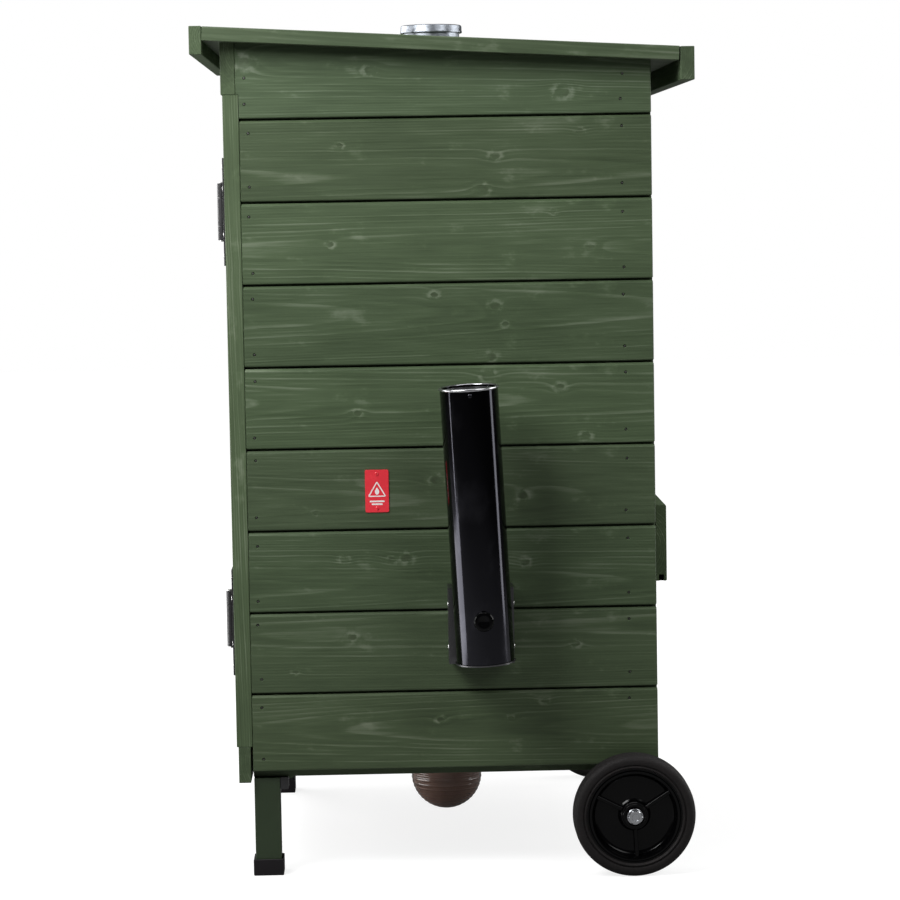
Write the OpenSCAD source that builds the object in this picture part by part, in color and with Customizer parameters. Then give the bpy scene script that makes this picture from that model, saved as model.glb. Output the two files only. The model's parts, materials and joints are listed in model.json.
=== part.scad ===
// Electric cabinet smoker: a timber-clad, insulated steel chamber on two wheels and two legs,
// with a smoke generator on its right side. Millimetres. +Z is up and the door faces -Y.
// Everything is drawn about the cabinet's own centre line, and placed() then moves it so that
// the origin is the centre of the whole object's footprint, at the ground.

/* [Cabinet] */
// Width over the side planks
body_w = 620; // [560:1:660]
// Depth from the face of the front stiles to the rear planks
body_d = 556; // [520:1:600]
// Height of the floor board's underside above the ground
base_z = 130.5; // [125:0.5:150]
// Height of the lowest joint between side planks
first_joint_z = 244.7; // [235:0.1:250]
// Height from one plank joint to the next
plank_pitch = 107.3; // [100:0.1:110]
// Thickness of the planks
plank_t = 18; // [15:1:20]
// Side of the square corner posts
post = 40; // [35:1:45]

/* [Front frame and door] */
// Width of the two front stiles
stile_w = 50; // [46:1:54]
// Thickness of the front stiles
stile_t = 20.8; // [18:0.1:22]
// Height of the opening's lower edge
rail_top_z = 173.5; // [170:0.5:180]
// Height of the header's lower edge
header_z = 1026.8; // [1000:0.1:1030]
// Gap all round the door
door_gap = 3; // [2:0.5:4]
// Thickness of the door's outer boards
door_board_t = 16; // [14:1:17]
// Thickness of the door's insulated core
door_core_t = 25; // [20:1:28]

/* [Roof] */
// Width of the roof, side to side
roof_w = 685; // [660:1:700]
// Height of the roof's upper face over the cabinet's centre
roof_z = 1097; // [1090:1:1105]
// Fall of the roof towards the rear, in degrees
roof_fall = 3.2; // [2:0.1:4]
// Thickness of the roof boards
roof_t = 18; // [16:1:20]
// Front edge of the roof, forward of the cabinet's centre
roof_front = 317; // [310:1:325]
// Rear edge of the roof, behind the cabinet's centre
roof_rear = 331.8; // [325:0.1:335]
// Outer radius of the flue
flue_r = 39; // [36:0.5:40]

/* [Wheels and legs] */
// Radius of the wheels
wheel_r = 80; // [75:1:85]
// Width of the tyres
wheel_w = 36; // [32:1:38]
// Distance from a side plank's face to the outer face of its wheel
wheel_reach = 48.6; // [46:0.1:52]
// Wheel axle's distance behind the cabinet's centre
axle_y = 242.4; // [235:0.1:245]
// Radius of the axle
axle_r = 6; // [5:0.5:7]
// Side of the square front legs
leg = 34; // [30:1:36]

/* [Smoke generator] */
// Outer radius of the hopper tube
tube_r = 37.5; // [35:0.5:40]
// Length of the hopper tube
tube_len = 356; // [340:1:380]
// Distance of the tube's foot from the side plank's face
tube_out = 74; // [72:1:80]
// Lean of the tube towards the door, in degrees
tube_forward = 2.7; // [1:0.1:3]
// Lean of the tube away from the cabinet, in degrees
tube_outward = 2; // [1:0.1:3]
// Width of the generator's housing
housing_w = 85; // [82:1:90]
// Height of the generator's housing
housing_h = 99; // [95:1:110]

/* [Control box] */
// Depth of the control box on the left side
box_d = 54; // [50:1:60]
// Length of the control knob
knob_len = 14; // [12:1:16]

/* [Hidden] */
$fn = 48;

far = 1500;                          // larger than any part, for cutting
run = 0.05;                          // radial running clearance
clear = 0.3;                         // gap beside a piece that is dropped or slid into place
slip = 0.2;                          // gap between two faces that all but touch
seam = 0.02;                         // hairline between two solids of one piece
half_w = body_w / 2;
front_y = -body_d / 2;
rear_y = body_d / 2;
stile_front = front_y + 0.5;
stile_back = stile_front + stile_t;
header_front = front_y - 1.5;
header_back = header_front + 19;
wall_in = half_w - plank_t;          // inner face of the side planks
post_in = wall_in - post;            // inner face of the corner posts
post_back = stile_back + post;
rear_in = rear_y - plank_t;          // inner face of the rear planks
rear_post = rear_in - post;

// Planks
plank_bottom = first_joint_z - plank_pitch + 3.6;
plank_joints = 8;
plank_gap = 4;                       // shadow gap at each joint
plank_chamfer = 2.5;
tongue_t = 8;
tongue_h = 6;

// Floor and chamber
floor_t = 20;
floor_top = base_z + floor_t;
sill_top = 183.5;
head_z = header_z - 10;              // lower face of the top cross member
cross_top = head_z + post;
liner_t = 1.5;
chamber_half = post_in - 2;          // inner face of the side liners
chamber_rear = rear_post - 2;
chamber_floor = 175;
chamber_ceiling = head_z + 0.2;
drain_r = 11;
drain_low = 112;

// Racks
guide_levels = [268, 420, 530, 640, 750, 900];
guide_reach = 16;
guide_drop = 20;
rack_half = chamber_half - 9;
rack_d = 370;
rack_back = chamber_rear - 8;
rack_rod = 3;
rack_wire = 1.5;
rack_wires = 23;

// Door
door_half = half_w - stile_w - door_gap;
door_low = rail_top_z + door_gap;
door_high = header_z - door_gap;
door_front = front_y + 1;
door_back = door_front + door_board_t;
core_half = post_in - 6;
core_low = sill_top + 6;
core_high = head_z - 6;
core_back = door_back + door_core_t;
door_board_count = 8;
gasket_t = 4;

// Hinges
hinge_z = [338, 876];
hinge_r = 5.5;
hinge_pin_r = 3;
hinge_x = half_w - stile_w;
hinge_y = door_front - hinge_r - 1.2;
barrel_h = 74;
strap_knuckle = 37;
plate_h = 140;
plate_t = 2.5;

// Latch
latch_x = -door_half + 25;
latch_z = 600;
latch_y = door_front - 2;
tongue_reach = 46;
latch_pin_r = 4;
latch_hub_r = 11;

// Flue
cap_r = flue_r + 4;
cap_z = 1117.5;
cap_h = 11.5;
vent_r = 9;
vent_ring = 21;
spindle_r = 3;

// Smoke generator
tube_t = 1.5;
tube_y = 49.3;
tube_z = 294;
tube_x = half_w + tube_out;
rim_r = tube_r + 1.5;
rim_h = 3;
housing_x = half_w + 48;
housing_y = 45.5;
housing_z = tube_z - 8;
auger_z = 350;
auger_y = tube_y - (auger_z - tube_z) * sin(tube_forward);
auger_shaft_r = 5;
paddle_r = 20;
smoke_z = 313;
smoke_r = 20;
igniter_z = 309;
igniter_y = tube_y - 1;
cup_h = 8;

// Drip bowl
bowl_r = 49.8;
bowl_y = 4;
bowl_z = 76;
bowl_rim_z = 96;
bowl_rim_r = 56;
bowl_t = 1.2;
rail_z = bowl_rim_z - 2.3;

// Wheels and legs
rim_outer = 63;
hub_r = 18.4;
wheel_x = half_w + wheel_reach - wheel_w / 2;
rib_angles = [33, 153, 273];
leg_x = 283;
leg_y = -239;
bracket_x = 297;

// Control box
box_y = -120;
box_w = 160;
box_z = 780;
box_h = 100;
box_t = 3;
box_x = -half_w - box_d;
knob_y = 10;
switch_y = -90;
control_z = box_z + box_h / 2;
probe_y = -40;
probe_r = 3;
probe_reach = 16;                    // length of probe that stands in the chamber
knob_shaft_r = 3;
rocker_tilt = 8;

// Rear board
board_z = 378.6;
board_h = 101.4;
board_half = 272;

// Origin: the middle of the outermost points, side to side and front to back
tube_axis_x = cos(tube_forward) * sin(tube_outward);
high_x = tube_x + tube_len * tube_axis_x + rim_r * sqrt(1 - tube_axis_x * tube_axis_x);
low_x = box_x - knob_len - 0.4;
shift_x = (high_x + low_x) / 2;
shift_y = (roof_rear - roof_front) / 2;

// ---------- shared helpers ----------

module placed() {
    translate([-shift_x, -shift_y, 0]) children();
}

// A block from one corner to the opposite one
module block(low, high) {
    translate(low) cube([high[0] - low[0], high[1] - low[1], high[2] - low[2]]);
}

// The same shape on the right and, mirrored, on the left
module both_sides() {
    children();
    mirror([1, 0, 0]) children();
}

// A cylinder along X, from x0 to x1
module rod_x(r, x0, x1, y, z) {
    translate([x0, y, z]) rotate([0, 90, 0]) cylinder(r = r, h = x1 - x0);
}

// A cylinder along Y, from y0 to y1
module rod_y(r, y0, y1, x, z) {
    translate([x, y0, z]) rotate([-90, 0, 0]) cylinder(r = r, h = y1 - y0);
}

// A cylinder along Z, from z0 to z1
module rod_z(r, z0, z1, x = 0, y = 0) {
    translate([x, y, z0]) cylinder(r = r, h = z1 - z0);
}

// A round tube along Z
module pipe_z(r, wall, z0, z1) {
    difference() {
        rod_z(r, z0, z1);
        rod_z(r - wall, z0 - 1, z1 + 1);
    }
}

// The sloping roof slab, from "down" below its upper face to "up" above it
module roof_slab(down, up) {
    translate([0, 0, roof_z]) rotate([-roof_fall, 0, 0])
        block([-roof_w / 2, -far, -down], [roof_w / 2, far, up]);
}

// Cuts its children off under the roof boards
module under_roof(gap = clear) {
    difference() {
        children();
        roof_slab(roof_t + gap, far);
    }
}

// ---------- timber shell ----------

// One shiplap plank's section: x is the thickness, the outer face at plank_t
module plank_section(low, high, tongue, rebate) {
    top = tongue ? high - plank_gap : high;
    lap = plank_t - tongue_t - 1;
    difference() {
        union() {
            difference() {
                translate([0, low]) square([plank_t, top - low]);
                translate([plank_t, top]) rotate(45)
                    square(plank_chamfer * sqrt(2), center = true);
            }
            if (tongue) translate([0, top - 1]) square([tongue_t, plank_gap + tongue_h + 1]);
        }
        if (rebate) translate([-1, low - 1]) square([plank_t - lap + 1, tongue_h + 3]);
    }
}

function plank_low(i) = i == 0 ? plank_bottom : first_joint_z + (i - 1) * plank_pitch;
function plank_high(i) = i == plank_joints ? roof_z + 20 : first_joint_z + i * plank_pitch;

module plank(i, length) {
    rotate([90, 0, 0]) translate([0, 0, -length])
        linear_extrude(length)
            plank_section(plank_low(i), plank_high(i), i < plank_joints, i > 0);
}

// The top plank reaches forward to the header, and is notched over the stiles
module side_siding() {
    start = stile_back + clear;
    under_roof() difference() {
        for (i = [0 : plank_joints]) {
            front = i == plank_joints ? header_back + slip : start;
            translate([wall_in, front, 0]) plank(i, rear_y - front);
        }
        block([0, front_y, 0], [far, start, header_z + clear]);
    }
}

module right_siding() {
    color("darkolivegreen") placed() difference() {
        side_siding();
        rod_x(smoke_r + 0.5, wall_in - 1, half_w + 1, housing_y, smoke_z);
    }
}

module left_siding() {
    color("darkolivegreen") placed() difference() {
        mirror([1, 0, 0]) side_siding();
        rod_x(6, -half_w - 1, -wall_in + 1, probe_y, control_z);
    }
}

module rear_siding() {
    color("darkolivegreen") placed() under_roof() for (i = [0 : plank_joints])
        translate([wall_in - clear, rear_in, 0]) rotate([0, 0, 90])
            plank(i, 2 * wall_in - 0.6);
}

module carcass_frame() {
    color("burlywood") placed() under_roof(0.6) {
        both_sides() {
            block([post_in, stile_back, floor_top], [wall_in, post_back, far]);
            block([post_in, rear_post, floor_top], [wall_in, rear_in, far]);
            block([post_in, post_back - 1, floor_top], [wall_in, rear_post + 1, sill_top]);
            block([post_in, post_back - 1, head_z + 8], [wall_in, rear_post + 1, far]);
        }
        block([-post_in - 1, stile_back, floor_top], [post_in + 1, post_back, sill_top]);
        block([-post_in - 1, stile_back, head_z], [post_in + 1, post_back, cross_top]);
        block([-post_in - 1, rear_post, head_z], [post_in + 1, rear_in, cross_top - 10]);
        block([-post_in, header_back, head_z + 14], [post_in, stile_back + 1, cross_top]);
        block([-post_in, stile_back - 2.4, floor_top + 2], [post_in, stile_back + 1, rail_top_z - 2]);
    }
}

module front_header() {
    color("olivedrab") placed() under_roof()
        block([-half_w, header_front, header_z], [half_w, header_back, far]);
}

module front_stiles() {
    color("olivedrab") placed() both_sides()
        block([half_w - stile_w, stile_front, rail_top_z + slip],
              [half_w, stile_back, header_z - slip]);
}

module bottom_rail() {
    color("olivedrab") placed()
        block([-half_w, stile_front + 2.2, 126], [half_w, stile_back - 2.6, rail_top_z]);
}

module floor_board() {
    color("peru") placed() difference() {
        block([-wall_in + 0.5, stile_back, base_z], [wall_in - 0.5, rear_in - clear, floor_top]);
        rod_z(drain_r + 1, base_z - 1, floor_top + 1);
    }
}

module roof_boards() {
    count = 7;
    pitch = roof_w / count;
    color("darkolivegreen") placed() difference() {
        intersection() {
            roof_slab(roof_t, 0);
            for (i = [0 : count - 1])
                block([-roof_w / 2 + i * pitch + 0.4, -roof_front + 16.2, 0],
                      [-roof_w / 2 + (i + 1) * pitch - 0.4, roof_rear - 18.2, far]);
        }
        rod_z(flue_r + 0.6, roof_z - 60, roof_z + 60);
    }
}

module roof_fascias() {
    front_top = roof_z + (roof_front - 8) * tan(roof_fall);
    rear_top = roof_z - (roof_rear - 9) * tan(roof_fall);
    color("olivedrab") placed() {
        block([-roof_w / 2, -roof_front, front_top - 36.5],
              [roof_w / 2, -roof_front + 16, front_top]);
        block([-roof_w / 2, roof_rear - 18, rear_top - 43],
              [roof_w / 2, roof_rear, rear_top]);
    }
}

// Board across the back: grooved along its lower edge, on two thin battens
module rear_board() {
    board_front = rear_y + 3;
    board_back = rear_y + 17.5;
    color("darkolivegreen") placed() {
        difference() {
            block([-board_half, board_front, board_z], [board_half, board_back, board_z + board_h]);
            block([-far, board_front + 4.5, board_z - 1], [far, board_front + 10, board_z + 8]);
        }
        both_sides() block([190, rear_y, board_z + 12], [230, board_front + 1, board_z + 90]);
    }
}

// ---------- insulated chamber ----------

module cabinet_insulation() {
    color("khaki") placed() {
        difference() {
            both_sides() block([post_in - clear, post_back + clear, sill_top + clear],
                               [wall_in - clear, rear_post - clear, head_z + 7.7]);
            rod_x(smoke_r + 0.5, 0, far, housing_y, smoke_z);
            rod_x(4, -far, 0, probe_y, control_z);
        }
        difference() {
            block([-post_in + 0.6, rear_post + clear, floor_top + clear],
                  [post_in - 0.6, rear_in - clear, head_z - clear]);
            both_sides() rod_y(7, 0, far, 120, 225);
        }
        difference() {
            block([-post_in + clear, post_back + clear, chamber_ceiling + 2],
                  [post_in - clear, rear_post - clear, cross_top - 12]);
            rod_z(flue_r + 0.6, 0, far);
        }
        difference() {
            block([-post_in + clear, post_back + clear, floor_top + slip],
                  [post_in - clear, rear_post - clear, chamber_floor - slip]);
            rod_z(drain_r + 1, 0, far);
        }
    }
}

module liner_walls() {
    color("silver") placed() {
        difference() {
            both_sides() {
                block([chamber_half, post_back + clear, chamber_floor + 2],
                      [chamber_half + liner_t, rear_post - clear, head_z - slip]);
                block([chamber_half, post_back - 39, sill_top + clear],
                      [chamber_half + liner_t, post_back + 1, head_z - slip]);
            }
            rod_x(smoke_r + clear, 0, far, housing_y, smoke_z);
            rod_x(3.5, -far, 0, probe_y, control_z);
        }
        difference() {
            block([-chamber_half + slip, chamber_rear, chamber_floor + 2],
                  [chamber_half - slip, chamber_rear + liner_t, chamber_ceiling - slip]);
            both_sides() rod_y(4.5, 0, far, 120, 225);
        }
    }
}

module liner_floor() {
    color("silver") placed() difference() {
        block([-chamber_half - 1, post_back + clear, chamber_floor],
              [chamber_half + 1, rear_post - 0.5, chamber_floor + liner_t]);
        rod_z(drain_r + slip, 0, far);
    }
}

module liner_ceiling() {
    color("silver") placed() difference() {
        block([-chamber_half - 1, post_back + clear, chamber_ceiling],
              [chamber_half + 1, rear_post - 0.5, chamber_ceiling + liner_t]);
        rod_z(flue_r + 0.4, 0, far);
    }
}

module rack_guides() {
    color("gainsboro") placed() both_sides() for (z = guide_levels) {
        block([chamber_half - guide_reach, rack_back - 390, z],
              [chamber_half - slip, rack_back + 4, z + 1.5]);
        block([chamber_half - 1.7, rack_back - 390, z - guide_drop],
              [chamber_half - slip, rack_back + 4, z + 0.5]);
    }
}

// Tubular element: four straight runs joined by three half rings, and two mounting plates
module heater_element() {
    tube = 4;
    bend = 40;
    low_y = -120;
    high_y = 150;
    z = 225;
    color("dimgray") placed() {
        for (x = [-3, 3]) rod_y(tube, low_y + seam, chamber_rear + 30, x * bend, z);
        for (x = [-1, 1]) rod_y(tube, low_y + seam, high_y - seam, x * bend, z);
        for (x = [-2, 2]) translate([x * bend, low_y, z]) rotate([0, 0, 180])
            rotate_extrude(angle = 180) translate([bend, 0]) circle(tube);
        translate([0, high_y, z])
            rotate_extrude(angle = 180) translate([bend, 0]) circle(tube);
        for (x = [-3, 3]) difference() {
            block([x * bend - 16, chamber_rear - 2.2, z - 16],
                  [x * bend + 16, chamber_rear - slip, z + 16]);
            rod_y(tube + seam, 0, far, x * bend, z);
        }
    }
}

module temperature_probe() {
    color("silver") placed() {
        rod_x(probe_r, -wall_in - 14, -chamber_half + probe_reach, probe_y, control_z);
        difference() {
            rod_x(8, -chamber_half + slip, -chamber_half + 4, probe_y, control_z);
            rod_x(probe_r + seam, -far, 0, probe_y, control_z);
        }
    }
}

module drain_pipe() {
    color("silver") placed() difference() {
        union() {
            rod_z(drain_r, drain_low, chamber_floor + 1);
            rod_z(drain_r + 5, chamber_floor + liner_t + 0.1, chamber_floor + 3);
            rod_z(drain_r, chamber_floor, chamber_floor + 2.5);
        }
        rod_z(drain_r - 1.5, drain_low - 1, chamber_floor + 5);
    }
}

// ---------- flue ----------

module vents() {
    for (a = [0 : 90 : 270]) rotate([0, 0, a]) translate([vent_ring, 0, 0])
        cylinder(r = vent_r, h = far);
}

// The pipe, and the vent plate let into its mouth
module flue_collar() {
    wall = 1.2;
    plate_z = cap_z + 2.5;
    color("silver") placed() {
        pipe_z(flue_r, wall, chamber_ceiling - 1, cap_z + 6.5);
        difference() {
            rod_z(flue_r - wall - seam, plate_z, plate_z + 1.5);
            vents();
            rod_z(spindle_r + run, 0, far);
        }
    }
}

module damper_cap() {
    color("gainsboro") placed() {
        difference() {
            rod_z(cap_r, cap_z, cap_z + cap_h);
            rod_z(flue_r + 1, cap_z - 1, cap_z + cap_h - 2.5);
            vents();
        }
        rod_z(spindle_r, cap_z + 1, cap_z + cap_h - 2);
    }
}

// ---------- drip bowl ----------

module bowl_rails() {
    color("silver") placed() both_sides() {
        block([bowl_r + 1.5, -250, rail_z], [bowl_rim_r + 6, 70, rail_z + 2]);
        block([bowl_rim_r + 4, -250, rail_z], [bowl_rim_r + 6, 70, base_z - 2]);
        block([bowl_rim_r + 4, -250, base_z - 2], [bowl_rim_r + 22, 70, base_z]);
    }
}

module drip_bowl() {
    color("saddlebrown") placed() translate([0, bowl_y, 0]) difference() {
        union() {
            intersection() {
                translate([0, 0, bowl_z]) sphere(bowl_r, $fn = 96);
                rod_z(bowl_r + 5, 0, bowl_z);
            }
            rod_z(bowl_r, bowl_z, bowl_rim_z);
            rod_z(bowl_rim_r, bowl_rim_z, bowl_rim_z + 1.5);
        }
        translate([0, 0, bowl_z]) sphere(bowl_r - bowl_t, $fn = 96);
        rod_z(bowl_r - bowl_t, bowl_z, bowl_rim_z + 60);
    }
}

// ---------- legs and wheels ----------

module front_legs() {
    color("darkgreen") placed() both_sides() difference() {
        block([leg_x - leg / 2, leg_y - leg / 2, 5],
              [leg_x + leg / 2, leg_y + leg / 2, base_z]);
        block([leg_x - leg / 2 + 2, leg_y - leg / 2 + 2, 0],
              [leg_x + leg / 2 - 2, leg_y + leg / 2 - 2, base_z + 1]);
    }
}

module foot_caps() {
    side = leg / 2 + 3;
    color("black") placed() both_sides() difference() {
        block([leg_x - side, leg_y - side, 0], [leg_x + side, leg_y + side, 22]);
        block([leg_x - leg / 2 - 0.1, leg_y - leg / 2 - 0.1, 5],
              [leg_x + leg / 2 + 0.1, leg_y + leg / 2 + 0.1, 23]);
    }
}

// Plates that carry the axle, and the angle brackets behind the legs
module chassis_brackets() {
    color("black") placed() both_sides() {
        difference() {
            union() {
                block([bracket_x - 3, axle_y - 25, wheel_r + 5], [bracket_x + 3, axle_y + 25, base_z]);
                rod_x(25, bracket_x - 3, bracket_x + 3, axle_y, wheel_r);
                block([bracket_x - 36, axle_y - 25, base_z - 4], [bracket_x, axle_y + 25, base_z]);
            }
            rod_x(axle_r + seam, 0, far, axle_y, wheel_r);
            block([0, -far, base_z], [far, far, far]);
        }
        block([leg_x - 15, leg_y + leg / 2 + slip, base_z - 16],
              [leg_x + 15, leg_y + leg / 2 + 11, base_z]);
    }
}

module axle() {
    color("silver") placed() rod_x(axle_r, -wheel_x - 12, wheel_x + 12, axle_y, wheel_r);
}

module wheel_rim() {
    half = wheel_w / 2 - 3;
    difference() {
        union() {
            difference() {
                rod_x(rim_outer, -half, half, 0, 0);
                rod_x(rim_outer - 8, -half - 1, half + 1, 0, 0);
            }
            rod_x(rim_outer - 5, -3, 3, 0, 0);
            rod_x(hub_r, -half, half, 0, 0);
            for (a = rib_angles) rotate([a, 0, 0])
                block([-half + 3, hub_r - 4, -3], [half - 3, rim_outer - 5, 3]);
        }
        rod_x(axle_r + run, -far, far, 0, 0);
        for (s = [-1, 1]) difference() {
            rod_x(hub_r - 2.5, s > 0 ? half - 3 : -half - 3, s > 0 ? half + 3 : -half + 3, 0, 0);
            rod_x(12.5, -far, far, 0, 0);
        }
    }
}

// Tyre section with round shoulders, turned about the axle
module wheel_tyre() {
    round_r = 8;
    edge = wheel_w / 2 - round_r;
    rotate([0, 90, 0]) rotate_extrude($fn = 96) {
        translate([rim_outer, -wheel_w / 2]) square([wheel_r - rim_outer - round_r, wheel_w]);
        translate([rim_outer, -edge]) square([wheel_r - rim_outer, 2 * edge]);
        for (s = [-1, 1]) translate([wheel_r - round_r, s * edge]) circle(round_r);
    }
}

module at_wheel(side) {
    placed() translate([side * wheel_x, axle_y, wheel_r]) children();
}

module right_wheel_rim() { color("black") at_wheel(1) wheel_rim(); }
module right_wheel_tyre() { color("dimgray") at_wheel(1) wheel_tyre(); }
module left_wheel_rim() { color("black") at_wheel(-1) wheel_rim(); }
module left_wheel_tyre() { color("dimgray") at_wheel(-1) wheel_tyre(); }

// ---------- door ----------

module door_boards() {
    pitch = (door_high - door_low) / door_board_count;
    color("darkolivegreen") placed() for (i = [0 : door_board_count - 1])
        block([-door_half, door_front, door_low + i * pitch + (i == 0 ? 0 : 1.5)],
              [door_half, door_back, door_low + (i + 1) * pitch]);
}

module door_frame() {
    member = 35;
    middle = (core_low + core_high) / 2;
    color("burlywood") placed() difference() {
        block([-core_half, door_back, core_low], [core_half, core_back, core_high]);
        block([-core_half + member, -far, core_low + member],
              [core_half - member, far, middle - member / 2]);
        block([-core_half + member, -far, middle + member / 2],
              [core_half - member, far, core_high - member]);
    }
}

module door_insulation() {
    member = 35.3;
    middle = (core_low + core_high) / 2;
    color("khaki") placed() {
        block([-core_half + member, door_back + slip, core_low + member],
              [core_half - member, core_back - slip, middle - member / 2]);
        block([-core_half + member, door_back + slip, middle + member / 2],
              [core_half - member, core_back - slip, core_high - member]);
    }
}

module door_inner_panel() {
    color("silver") placed()
        block([-core_half, core_back, core_low], [core_half, core_back + 1.2, core_high]);
}

module door_gasket() {
    color("dimgray") placed() difference() {
        block([-door_half + 1, door_back, door_low + 1],
              [door_half - 1, door_back + gasket_t - clear, door_high - 1]);
        block([-core_half - 0.4, -far, core_low - 0.4], [core_half + 0.4, far, core_high + 0.4]);
    }
}

// ---------- hinges ----------

module hinge_plates() {
    color("black") placed() for (z = hinge_z) difference() {
        union() {
            block([hinge_x + 6.6, stile_front - plate_t, z - plate_h / 2],
                  [hinge_x + 41, stile_front, z + plate_h / 2]);
            for (s = [-1, 1]) {
                low = s < 0 ? z - barrel_h / 2 : z + strap_knuckle / 2 + clear;
                high = s < 0 ? z - strap_knuckle / 2 - clear : z + barrel_h / 2;
                rod_z(hinge_r, low, high, hinge_x, hinge_y);
                block([hinge_x + 1, stile_front - plate_t, low], [hinge_x + 8, stile_front, high]);
            }
        }
        rod_z(hinge_pin_r + 0.01, 0, far, hinge_x, hinge_y);
    }
}

module hinge_pins() {
    color("silver") placed() for (z = hinge_z) {
        rod_z(hinge_pin_r, z - barrel_h / 2 - 2, z + barrel_h / 2 + 1, hinge_x, hinge_y);
        rod_z(hinge_pin_r + 1.5, z + barrel_h / 2 + 0.1, z + barrel_h / 2 + 2, hinge_x, hinge_y);
    }
}

module hinge_straps() {
    root_h = strap_knuckle / 2;
    tip_h = 9;
    length = 235;
    color("black") placed() for (z = hinge_z) difference() {
        union() {
            rod_z(hinge_r, z - root_h, z + root_h, hinge_x, hinge_y);
            translate([hinge_x, door_front - plate_t, z]) rotate([90, 0, 180])
                linear_extrude(plate_t)
                    polygon([[1, -root_h], [12, -root_h], [length, -tip_h], [length + 9, 0],
                             [length, tip_h], [12, root_h], [1, root_h]]);
        }
        rod_z(hinge_pin_r + run, 0, far, hinge_x, hinge_y);
    }
}

// ---------- latch ----------

module latch_base() {
    color("black") placed() {
        block([latch_x - 18, latch_y, latch_z - 40], [latch_x + 18, door_front, latch_z + 40]);
        rod_y(latch_pin_r, latch_y - 15.5, door_front - 1, latch_x, latch_z);
        rod_y(7, latch_y - 18, latch_y - 15.5, latch_x, latch_z);
    }
}

// Lever on one spindle: its tongue plate points up when released, and its grip points down
module latch_lever() {
    color("black") placed() difference() {
        union() {
            rod_y(latch_hub_r, latch_y - 5.5, latch_y - clear, latch_x, latch_z);
            block([latch_x - 7, latch_y - 5.5, latch_z],
                  [latch_x + 7, latch_y - 1.5, latch_z + tongue_reach]);
            rod_y(latch_hub_r, latch_y - 15.2, latch_y - 5.5 - seam, latch_x, latch_z);
            block([latch_x - 8, latch_y - 15.2, latch_z - 90],
                  [latch_x + 8, latch_y - 9.2, latch_z]);
            rod_y(8, latch_y - 15.2, latch_y - 9.2, latch_x, latch_z - 90);
        }
        rod_y(latch_pin_r + run, -far, far, latch_x, latch_z);
    }
}

module latch_keeper() {
    lip_y = latch_y - 9;
    color("black") placed() {
        block([-half_w + 5, latch_y, latch_z - 15], [-half_w + 44, stile_front, latch_z + 15]);
        block([-half_w + 18, lip_y, latch_z - 15], [-half_w + 21, latch_y + 1, latch_z + 15]);
        block([-half_w + 18, lip_y, latch_z - 15], [-half_w + 44, lip_y + 2.5, latch_z + 15]);
    }
}

// ---------- smoke generator ----------

// Children stand on the tube's own axis, with its foot at z = 0
module on_tube() {
    translate([tube_x, tube_y, tube_z]) rotate([tube_forward, tube_outward, 0]) children();
}

module hopper_tube() {
    color("dimgray") placed() difference() {
        on_tube() {
            pipe_z(tube_r, tube_t, 0, tube_len);
            difference() {
                rod_z(rim_r, tube_len - rim_h, tube_len);
                rod_z(tube_r - 0.5, tube_len - rim_h - 1, tube_len + 1);
            }
        }
        rod_x(auger_shaft_r + 1, 0, tube_x, auger_y, auger_z);
        rod_x(8.1, tube_x, far, auger_y, auger_z);
        rod_x(10, 0, tube_x, housing_y, 329);
        rod_x(5.2, 0, tube_x, igniter_y, igniter_z);
    }
}

module bearing_cap() {
    face = tube_x + tube_r + 4;
    color("black") placed() difference() {
        union() {
            rod_x(13, face, face + 4, auger_y, auger_z);
            rod_x(8, face - 16, face + 1, auger_y, auger_z);
        }
        rod_x(auger_shaft_r + run, 0, face - 4, auger_y, auger_z);
    }
}

module feed_auger() {
    from = half_w + 34.5;
    to = tube_x + tube_r - 1;
    color("silver") placed() {
        rod_x(auger_shaft_r, from, to, auger_y, auger_z);
        rod_x(9, tube_x - 20, tube_x + 22, auger_y, auger_z);
        for (a = [45 : 90 : 315]) translate([0, auger_y, auger_z]) rotate([a, 0, 0])
            block([tube_x - 20, 5, -1.5], [tube_x + 22, paddle_r, 1.5]);
    }
}

module generator_housing() {
    wall = 1.5;
    low_y = housing_y - housing_w / 2;
    high_y = housing_y + housing_w / 2;
    high_z = housing_z + housing_h;
    color("gray") placed() difference() {
        block([half_w, low_y, housing_z], [housing_x, high_y, high_z]);
        block([half_w + wall, low_y + wall, housing_z + wall],
              [housing_x - wall, high_y - wall, high_z - wall]);
        on_tube() {
            rod_z(tube_r + 0.1, -50, tube_len);
            rod_z(rim_r + 0.6, -50, 0.5);
        }
        rod_x(smoke_r - 0.5, 0, half_w + 10, housing_y, smoke_z);
    }
}

module smoke_pipe() {
    color("silver") placed() difference() {
        rod_x(smoke_r, chamber_half - 8, half_w - slip, housing_y, smoke_z);
        rod_x(smoke_r - 1.2, 0, far, housing_y, smoke_z);
    }
}

module feed_motor() {
    color("slategray") placed() difference() {
        rod_x(14, half_w + 2, half_w + 36, auger_y, auger_z);
        rod_x(auger_shaft_r + run, half_w + 34, far, auger_y, auger_z);
    }
}

module igniter() {
    color("white") placed() {
        rod_x(5, half_w + 20, tube_x - 4, igniter_y, igniter_z);
        rod_x(8, half_w + 12, half_w + 21, igniter_y, igniter_z);
    }
}

// Push-in cup that closes the tube's foot
module ash_cup() {
    color("gray") placed() on_tube() difference() {
        union() {
            rod_z(tube_r - tube_t - clear, -1, cup_h);
            rod_z(rim_r, -2, -0.3);
        }
        rod_z(tube_r - tube_t - 1.5, -0.5, cup_h + 1);
    }
}

// ---------- plates, screws and nails ----------

module warning_plate() {
    color("red") placed() block([half_w, -102.3, 481], [half_w + 1.2, -71.3, 537]);
}

function plank_nails(i) = [plank_low(i) + 16, (i == plank_joints ? 1063 : plank_high(i)) - 18];

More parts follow.
